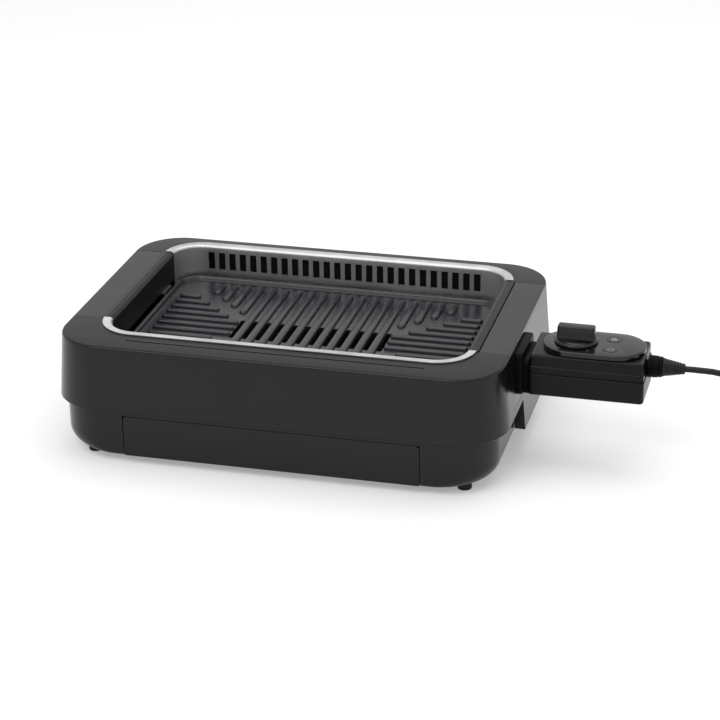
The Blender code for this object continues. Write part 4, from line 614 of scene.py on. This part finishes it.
def rib(start, end, width, height=0.003):
    """A cast rib with rounded flanks and ends between two (x, y) places."""
    (x0, y0), (x1, y1) = start, end
    length = hypot(x1 - x0, y1 - y0)
    ux, uy = (x1 - x0) / length, (y1 - y0) / length
    rings = []
    for z, share in ((-0.0015, 1), (0, 1), (0.35 * height, 0.93), (0.7 * height, 0.8),
                     (0.92 * height, 0.64), (height, 0.42)):
        radius = width / 2 * share
        ring = []
        for (cx, cy), turn in (((x0, y0), pi / 2), ((x1, y1), -pi / 2)):
            for step in range(9):
                angle = turn + step / 8 * pi
                along, across = radius * cos(angle), radius * sin(angle)
                ring.append((cx + along * ux - across * uy, cy + along * uy + across * ux,
                             FLOOR_Z + z))
        rings.append(ring)
    return stack("rib", rings)


plate = stack("plate_casting", [plate_ring(*place) for place in (
    (0.002, 0.0815), (0.0014, 0.0822), (0.0001, 0.0893), (0.0002, 0.0904), (0.0007, 0.0910),
    (0.0013, 0.0912), (0.0027, 0.0912), (0.0033, 0.0910), (0.0038, 0.0905), (0.0044, 0.0895),
    (0.0050, 0.0880), (0.0056, 0.0870), (0.0066, FLOOR_Z))])
ribs = [rib(((i - 5) * RIB_PITCH, RIB_FRONT), ((i - 5) * RIB_PITCH, RIB_REAR), RIB_WIDTH)
        for i in range(11)]
for i in range(4):
    x = (6 + i) * RIB_PITCH
    reach = 0.044 + i * WEDGE_STEP
    for side in (-x, x):
        ribs.append(rib((side, PATTERN_Y + reach), (side, RIB_REAR), RIB_WIDTH))
        if PATTERN_Y - reach > -0.089:
            ribs.append(rib((side, RIB_FRONT), (side, PATTERN_Y - reach), RIB_WIDTH))
for i in range(-5, 6):
    y = PATTERN_Y + i * CROSS_PITCH
    inner = 0.083 + max(0, abs(i) - 1) * WEDGE_STEP
    for side in (-1, 1):
        ribs.append(rib((side * inner, y), (side * CROSS_END, y), CROSS_WIDTH))
combine(plate, [gather(ribs)], "UNION")
slots = [stack("slot", [plan(0.0025, 0.023, 0.0022, z,
                             ((i - (SLOT_COUNT - 1) / 2) * RIB_PITCH, PATTERN_Y), 5)
                        for z in (0.07, 0.1)]) for i in range(SLOT_COUNT)]
combine(plate, [gather(slots)])
dress(plate, "plate", ["grill_plate"], COATING, angle=38)


# Side covers with their lips

def cover_piece():
    """The right cover: wide top, leaning side, tab below and tongue under the lip."""
    top = [(side_face(z) - inset, z) for inset, z in top_edge()]
    outline = [(side_face(TAB_BOTTOM), TAB_BOTTOM)] + top + [
        (0.1906, TOP_Z), (0.1900, 0.1214), (0.1900, 0.1172), (0.1850, 0.1172),
        (0.1850, 0.1147), (0.1930, 0.1147), (0.1930, 0.119), (0.2180, 0.119),
        (side_face(0.067) - SHELL_WALL, 0.067), (0.2176, 0.067), (0.2176, TAB_BOTTOM)]
    piece = prism("cover_right", outline, COVER_FRONT, COVER_REAR)
    return combine(piece, [box(0.1897, 0.25, y0, y1, 0.01, 0.064)
                           for y0, y1 in ((-0.1, TAB_FRONT), (TAB_REAR, 0.12))])


cover = cover_piece()
left_cover = mirrored("cover_left", cover)
combine(cover, [box(0.202, 0.25, -0.0623, -0.0097, 0.0727, 0.1088)])
# Top faces of the covers take the cover top finish, lighter as painted light
for piece, node in ((cover, "right_cover"), (left_cover, "left_cover")):
    dress(piece, "plate", [node], SATIN, 0.0007, second=COVER_TOP_PAINTED_LIGHT, pick=on_top)

lip_outline = ([(0.1783, 0.093), (0.1810, 0.093), (0.1810, 0.1175), (0.1897, 0.1175),
                (0.1897, 0.1222)] + arc(0.1893, 0.1224, 0.0004, 0, 1, 2)
               + [(0.1852, 0.1228), (0.1849, 0.1225), (0.1845, 0.1225), (0.1842, 0.1228)]
               + arc(0.1828, 0.1183, 0.0045, 1, 2, 8))
lip = prism("lip_right", lip_outline, COVER_FRONT, 0.1012)
left_lip = mirrored("lip_left", lip)
dress(lip, "plate", ["right_lip"], UNIT_BLACK, 0.0003, 25)
dress(left_lip, "plate", ["left_lip"], UNIT_BLACK, 0.0003, 25)


# Control unit

def unit_ring(inset, z, corner=0.004):
    return plan(0.05575 - inset, 0.031 - inset, max(corner - inset, 0.0008), z,
                (0.29025, SOCKET_Y), 8)


def round_in(outset, z, radius, ring, steps=5):
    """Rings that turn from an upright wall in to a flat top."""
    return [ring(outset + radius * (1 - cos(i / steps * pi / 2)),
                 z + radius * sin(i / steps * pi / 2)) for i in range(steps + 1)]


def gland_way():
    """The cord gland's way through the unit's end wall."""
    return rod("hole", 0.0126, (0.33, SOCKET_Y, CORD_HEIGHT), (0.36, SOCKET_Y, CORD_HEIGHT))


lower = [unit_ring(0.002 * (1 - sin(i / 4 * pi / 2)),
                   0.0755 + 0.002 * (1 - cos(i / 4 * pi / 2))) for i in range(5)]
lower += [unit_ring(0, 0.0974), unit_ring(0.0003, 0.0978), unit_ring(0.0024, 0.0978),
          unit_ring(0.0024, 0.0779)]
bottom_case = stack("unit_bottom", lower)
combine(bottom_case, [box(0.2245, 0.2445, -0.057, -0.015, 0.0775, 0.0956), gland_way()])
dress(bottom_case, "control_unit", ["control_case_bottom"], UNIT_BLACK, 0.0002)

upper = [unit_ring(0.003, 0.1146), unit_ring(0.003, 0.0982), unit_ring(0.0009, 0.0982),
         unit_ring(0.0006, 0.0986), unit_ring(0.0006, 0.1046), unit_ring(0.0009, 0.1050),
         unit_ring(0.0016, 0.1055)]
upper += round_in(0.0016, 0.114, 0.003, unit_ring)
top_case = stack("unit_top", upper)
BUTTONS = {"fan": -0.024, "power": -0.048}
BUTTON_RADIUS = 0.00725


def way_through(radius, x, y):
    return rod("hole", 2 * radius, (x, y, 0.109), (x, y, 0.133), 40)


def face_ways():
    """Ways for the knob's shaft and the two buttons."""
    return ([way_through(0.0033, *KNOB_MIDDLE)]
            + [way_through(BUTTON_RADIUS + GAP, BUTTON_X, y) for y in BUTTONS.values()])


combine(top_case, face_ways() + [gland_way()])
dress(top_case, "control_unit", ["control_case_top"], UNIT_BLACK, 0.0002)


def panel_ring(inset, z):
    return plan(0.0495 - inset, 0.0285 - inset, 0.0285 - inset, z, (0.294, SOCKET_Y), 20)


panel = stack("unit_panel", [panel_ring(0.0006, 0.1173), panel_ring(0, 0.1179)]
              + round_in(0, 0.1213, 0.001, panel_ring, 4))
combine(panel, face_ways()
        + [turned("seat", [(0.0216, 0.1221), (0.0219, 0.13)], KNOB_MIDDLE, 64)])
dress(panel, "control_unit", ["control_panel"], PANEL, 0.0001)


def flat_mark(name, outlines, z, body):
    """Thin printed shapes on a face: closed outlines of (x, y) places."""
    things = [stack("mark", [[(x, y, z - 0.0001) for x, y in line],
                             [(x, y, z + 0.00004) for x, y in line]]) for line in outlines]
    thing = gather(things, name)
    mesh = thing.data
    mesh.materials.append(PRINT)
    mesh.transform(Matrix.Translation(SHIFT))
    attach(thing, body)


def band(x, y, radius, width, start, end, steps=32):
    """Outline of a piece of a ring, the angles in degrees."""
    angles = [radians(start + (end - start) * i / steps) for i in range(steps + 1)]
    return ([(x + (radius + width / 2) * cos(a), y + (radius + width / 2) * sin(a))
             for a in angles]
            + [(x + (radius - width / 2) * cos(a), y + (radius - width / 2) * sin(a))
               for a in reversed(angles)])


def petal(x, y, angle):
    """Outline of one blade of the fan mark."""
    points = []
    for along, across in ((0.0007, 0), (0.0012, 0.0007), (0.0022, 0.0012), (0.0030, 0.0009),
                          (0.0032, 0.0001), (0.0026, -0.0003), (0.0016, -0.0004)):
        points.append((x + along * cos(angle) - across * sin(angle),
                       y + along * sin(angle) + across * cos(angle)))
    return points


for label, y in BUTTONS.items():
    button = turned(label + "_key", [
        (BUTTON_RADIUS - 0.0006, 0.1122), (BUTTON_RADIUS, 0.1128),
        (BUTTON_RADIUS, 0.1223), (BUTTON_RADIUS - 0.0001, 0.1225),
        (BUTTON_RADIUS - 0.0003, 0.1227), (BUTTON_RADIUS - 0.0012, 0.1227),
        (BUTTON_RADIUS - 0.0015, 0.1225)], (BUTTON_X, y), 64)
    dress(button, label + "_button", [label + "_button"], PANEL, angle=25)
FACE_Z = 0.1225           # the buttons' faces
flat_mark("fan_mark", [petal(BUTTON_X, BUTTONS["fan"], i * pi / 3) for i in range(6)],
          FACE_Z, "fan_button")
flat_mark("power_mark", [
    band(BUTTON_X, BUTTONS["power"], 0.0026, 0.0004, 120, 420),
    [(0.3108, BUTTONS["power"] + 0.0012), (0.3112, BUTTONS["power"] + 0.0012),
     (0.3112, BUTTONS["power"] + 0.0036), (0.3108, BUTTONS["power"] + 0.0036)]],
    FACE_Z, "power_button")

# Scale of fine strokes round the knob, longer at its ends
strokes = []
for i in range(11):
    angle = radians(235 - i * 29)
    inner, half = 0.0228, 0.00022
    outer = 0.0240 + (0.0006 if i in (0, 10) else 0)
    ca, sa = cos(angle), sin(angle)
    strokes.append([(KNOB_MIDDLE[0] + r * ca - s * half * sa, SOCKET_Y + r * sa + s * half * ca)
                    for r, s in ((inner, -1), (outer, -1), (outer, 1), (inner, 1))])
flat_mark("knob_scale", strokes, 0.1223, "control_unit")

KNOB_RADIUS = 0.0210
KNOB_ROUND = 0.0022
KNOB_ROUND_Z = 0.1240
knob_profile = [(0.0202, 0.1226), (0.0208, 0.1228), (KNOB_RADIUS, 0.1233),
                (KNOB_RADIUS, KNOB_ROUND_Z)]
knob_profile += [(KNOB_RADIUS - KNOB_ROUND * (1 - cos(i / 5 * pi / 2)),
                  KNOB_ROUND_Z + KNOB_ROUND * sin(i / 5 * pi / 2)) for i in range(1, 6)]
knob_profile += [(0.0178, 0.1262), (0.0172, 0.1264), (0.0168, 0.1266)]
knob = turned("dial", knob_profile, KNOB_MIDDLE, 72)


def grip_ring(inset, z):
    return plan(0.0185 - inset, 0.006 - inset, max(0.003 - inset, 0.0008), z,
                KNOB_MIDDLE, 8)


grip = stack("grip", [grip_ring(-0.0008, 0.1255), grip_ring(-0.0004, 0.1268),
                      grip_ring(0, 0.1276)] + round_in(0.0004, 0.1371, 0.002, grip_ring))
combine(knob, [grip], "UNION")
combine(knob, [rod("hole", 0.0066, (*KNOB_MIDDLE, 0.11), (*KNOB_MIDDLE, 0.1328)),
               box(0.2584, 0.2650, -0.0364, -0.0356, 0.1388, 0.14)])
dress(knob, "knob", ["knob"], GLOSS, angle=28)


# Neck with its collar, gland, strain relief and plug

def along_x(name, middle, sections):
    """A solid through rounded rectangles across X: (x, half width, half height, radius)."""
    return stack(name, [[(x, y, z) for y, z, _ in plan(half_y, half_z, radius, 0, middle, 8)]
                        for x, half_y, half_z, radius in sections])


neck = along_x("unit_neck", (SOCKET_Y, 0.09075), [(0.2023, 0.026, 0.01775, 0.005),
                                                  (0.2342, 0.026, 0.01775, 0.005)])
collar = along_x("collar", (SOCKET_Y, 0.0945), [
    (0.215, 0.030, 0.0215, 0.005), (0.22745, 0.030, 0.0215, 0.005),
    (0.22845, 0.0297, 0.0212, 0.0048), (0.2292, 0.0290, 0.0205, 0.0043),
    (0.22945, 0.0282, 0.0197, 0.0035)])
combine(collar, [prism("wall", [(0.202, TAB_BOTTOM), (side_face(TAB_BOTTOM) + GAP, TAB_BOTTOM),
                                (side_face(TOP_Z) + GAP, TOP_Z), (0.202, TOP_Z)],
                       -0.1, 0.1)])
combine(neck, [collar], "UNION")
ways = [rod("way", 0.0076, (0.19, y, 0.0777), (0.2272, y, 0.0777)) for y in (-0.050, -0.022)]
ways.append(rod("way", 0.0056, (0.19, SOCKET_Y, 0.0867), (0.245, SOCKET_Y, 0.0867)))
combine(neck, ways)
# The neck's darker black is painted shade
dress(neck, "control_unit", ["connector_neck"], NECK_BLACK_PAINTED_SHADE, 0.0003)

gland = turned_x("gland", [
    (0.3412, 0.006), (0.3463, 0.006), (0.3463, 0.0106), (0.3467, 0.011), (0.3492, 0.011),
    (0.3496, 0.0105), (0.3504, 0.0105), (0.3508, 0.0108), (0.3560, 0.0104),
    (0.3564, 0.0098), (0.3570, 0.0098), (0.3574, 0.0101), (0.3594, 0.0099), (0.3600, 0.0092)])
# The gland takes the neck's darker black, painted shade
dress(gland, "control_unit", ["cord_gland"], NECK_BLACK_PAINTED_SHADE, angle=25)

BOOT_START = 0.3603
BOOT_RADIUS = 0.009
boot_profile = [(BOOT_START, 0.0084), (0.3607, BOOT_RADIUS)]
for i in range(6):
    x = 0.3628 + i * 0.0029
    radius = BOOT_RADIUS - (x - BOOT_START) * 0.004 / 0.021
    boot_profile += [(x, radius), (x + 0.0003, radius - 0.0005), (x + 0.0010, radius - 0.0006),
                     (x + 0.0013, radius - 0.0002)]
boot_profile += [(0.3808, 0.0050), (0.3813, 0.0044)]
boot = turned_x("boot", boot_profile)
dress(boot, "control_unit", ["strain_relief"], CORD, angle=30)

PLUG_Y = COIL_FRONT
PLUG_Z = COIL_LOW + COIL_STEP
plug_sections = [(0.5383, 0.0046, 0.0046, 0.0046), (0.5387, 0.005, 0.005, 0.005)]
for i in range(3):
    x = 0.5402 + i * 0.0026
    plug_sections += [(x, 0.005, 0.005, 0.005), (x + 0.0003, 0.0044, 0.0044, 0.0044),
                      (x + 0.0010, 0.0044, 0.0044, 0.0044), (x + 0.0013, 0.005, 0.005, 0.005)]
plug_sections += [(0.5485, 0.0062, 0.0058, 0.005), (0.5505, 0.0088, 0.0074, 0.005),
                  (0.5525, 0.0108, 0.0086, 0.005), (0.5543, 0.0118, 0.0092, 0.0048),
                  (0.5560, 0.0120, 0.0093, 0.0047)]
for i in range(3):
    x = 0.5576 + i * 0.0030
    plug_sections += [(x, 0.0120, 0.0093, 0.0047), (x + 0.0003, 0.0114, 0.0087, 0.0044),
                      (x + 0.0013, 0.0114, 0.0087, 0.0044), (x + 0.0016, 0.0120, 0.0093, 0.0047)]
plug_sections += [(0.5693, 0.0120, 0.0093, 0.0047), (0.5700, 0.0117, 0.0090, 0.0045),
                  (0.5703, 0.0110, 0.0083, 0.0040)]
plug = along_x("cord_plug", (PLUG_Y, PLUG_Z), plug_sections)
dress(plug, "control_unit", ["mains_plug"], CORD, angle=30)


# Floor, lights and background

FLOOR_GLOW = 0.3          # the floor's own light, only where it is seen
FILL = 0.55               # the background's light on the object
LIGHT_AIM = (0, 0, 0.05)


def seen_by(nodes, links, low, high):
    """High for rays that see the background, straight or in a gloss, and low for the rest."""
    rays = nodes.new("ShaderNodeLightPath")
    seen = rays.outputs["Is Camera Ray"]
    for name in ("Is Glossy Ray", "Is Transmission Ray"):
        either = nodes.new("ShaderNodeMath")
        either.operation = "MAXIMUM"
        links.new(seen, either.inputs[0])
        links.new(rays.outputs[name], either.inputs[1])
        seen = either.outputs[0]
    level = nodes.new("ShaderNodeMapRange")
    level.inputs["To Min"].default_value = low
    level.inputs["To Max"].default_value = high
    links.new(seen, level.inputs["Value"])
    return level.outputs["Result"]


def make_floor():
    mesh = bpy.data.meshes.new("studio_floor")
    side = 12
    mesh.from_pydata([(-side, -side, 0), (side, -side, 0), (side, side, 0), (-side, side, 0)],
                     [], [(0, 1, 2, 3)])
    floor = bpy.data.objects.new("studio_floor", mesh)
    bpy.context.scene.collection.objects.link(floor)
    material = bpy.data.materials.new("floor_white")
    material.use_nodes = True
    nodes, links = material.node_tree.nodes, material.node_tree.links
    shader = nodes["Principled BSDF"]
    shader.inputs["Base Color"].default_value = (0.86, 0.86, 0.86, 1)
    shader.inputs["Roughness"].default_value = 0.8
    shader.inputs["Emission Color"].default_value = (1, 1, 1, 1)
    links.new(seen_by(nodes, links, 0, FLOOR_GLOW), shader.inputs["Emission Strength"])
    mesh.materials.append(material)


def area_light(name, place, aim, size, power):
    data = bpy.data.lights.new(name, "AREA")
    data.shape = "RECTANGLE"
    data.size, data.size_y = size
    data.energy = power
    light = bpy.data.objects.new(name, data)
    bpy.context.scene.collection.objects.link(light)
    light.location = place
    light.rotation_euler = (Vector(aim) - Vector(place)).to_track_quat("-Z", "Y").to_euler()


def make_world():
    world = bpy.data.worlds.new("studio")
    bpy.context.scene.world = world
    world.use_nodes = True
    nodes, links = world.node_tree.nodes, world.node_tree.links
    back = nodes["Background"]
    back.inputs["Color"].default_value = (1, 1, 1, 1)
    links.new(seen_by(nodes, links, FILL, 1.0), back.inputs["Strength"])


make_floor()
area_light("key", (-0.5, -1.4, 1.9), LIGHT_AIM, (1.6, 1.2), 14)
area_light("top", (0.2, 0.5, 2.2), LIGHT_AIM, (2.0, 1.6), 16)
make_world()
bpy.context.scene.view_settings.view_transform = "Standard"
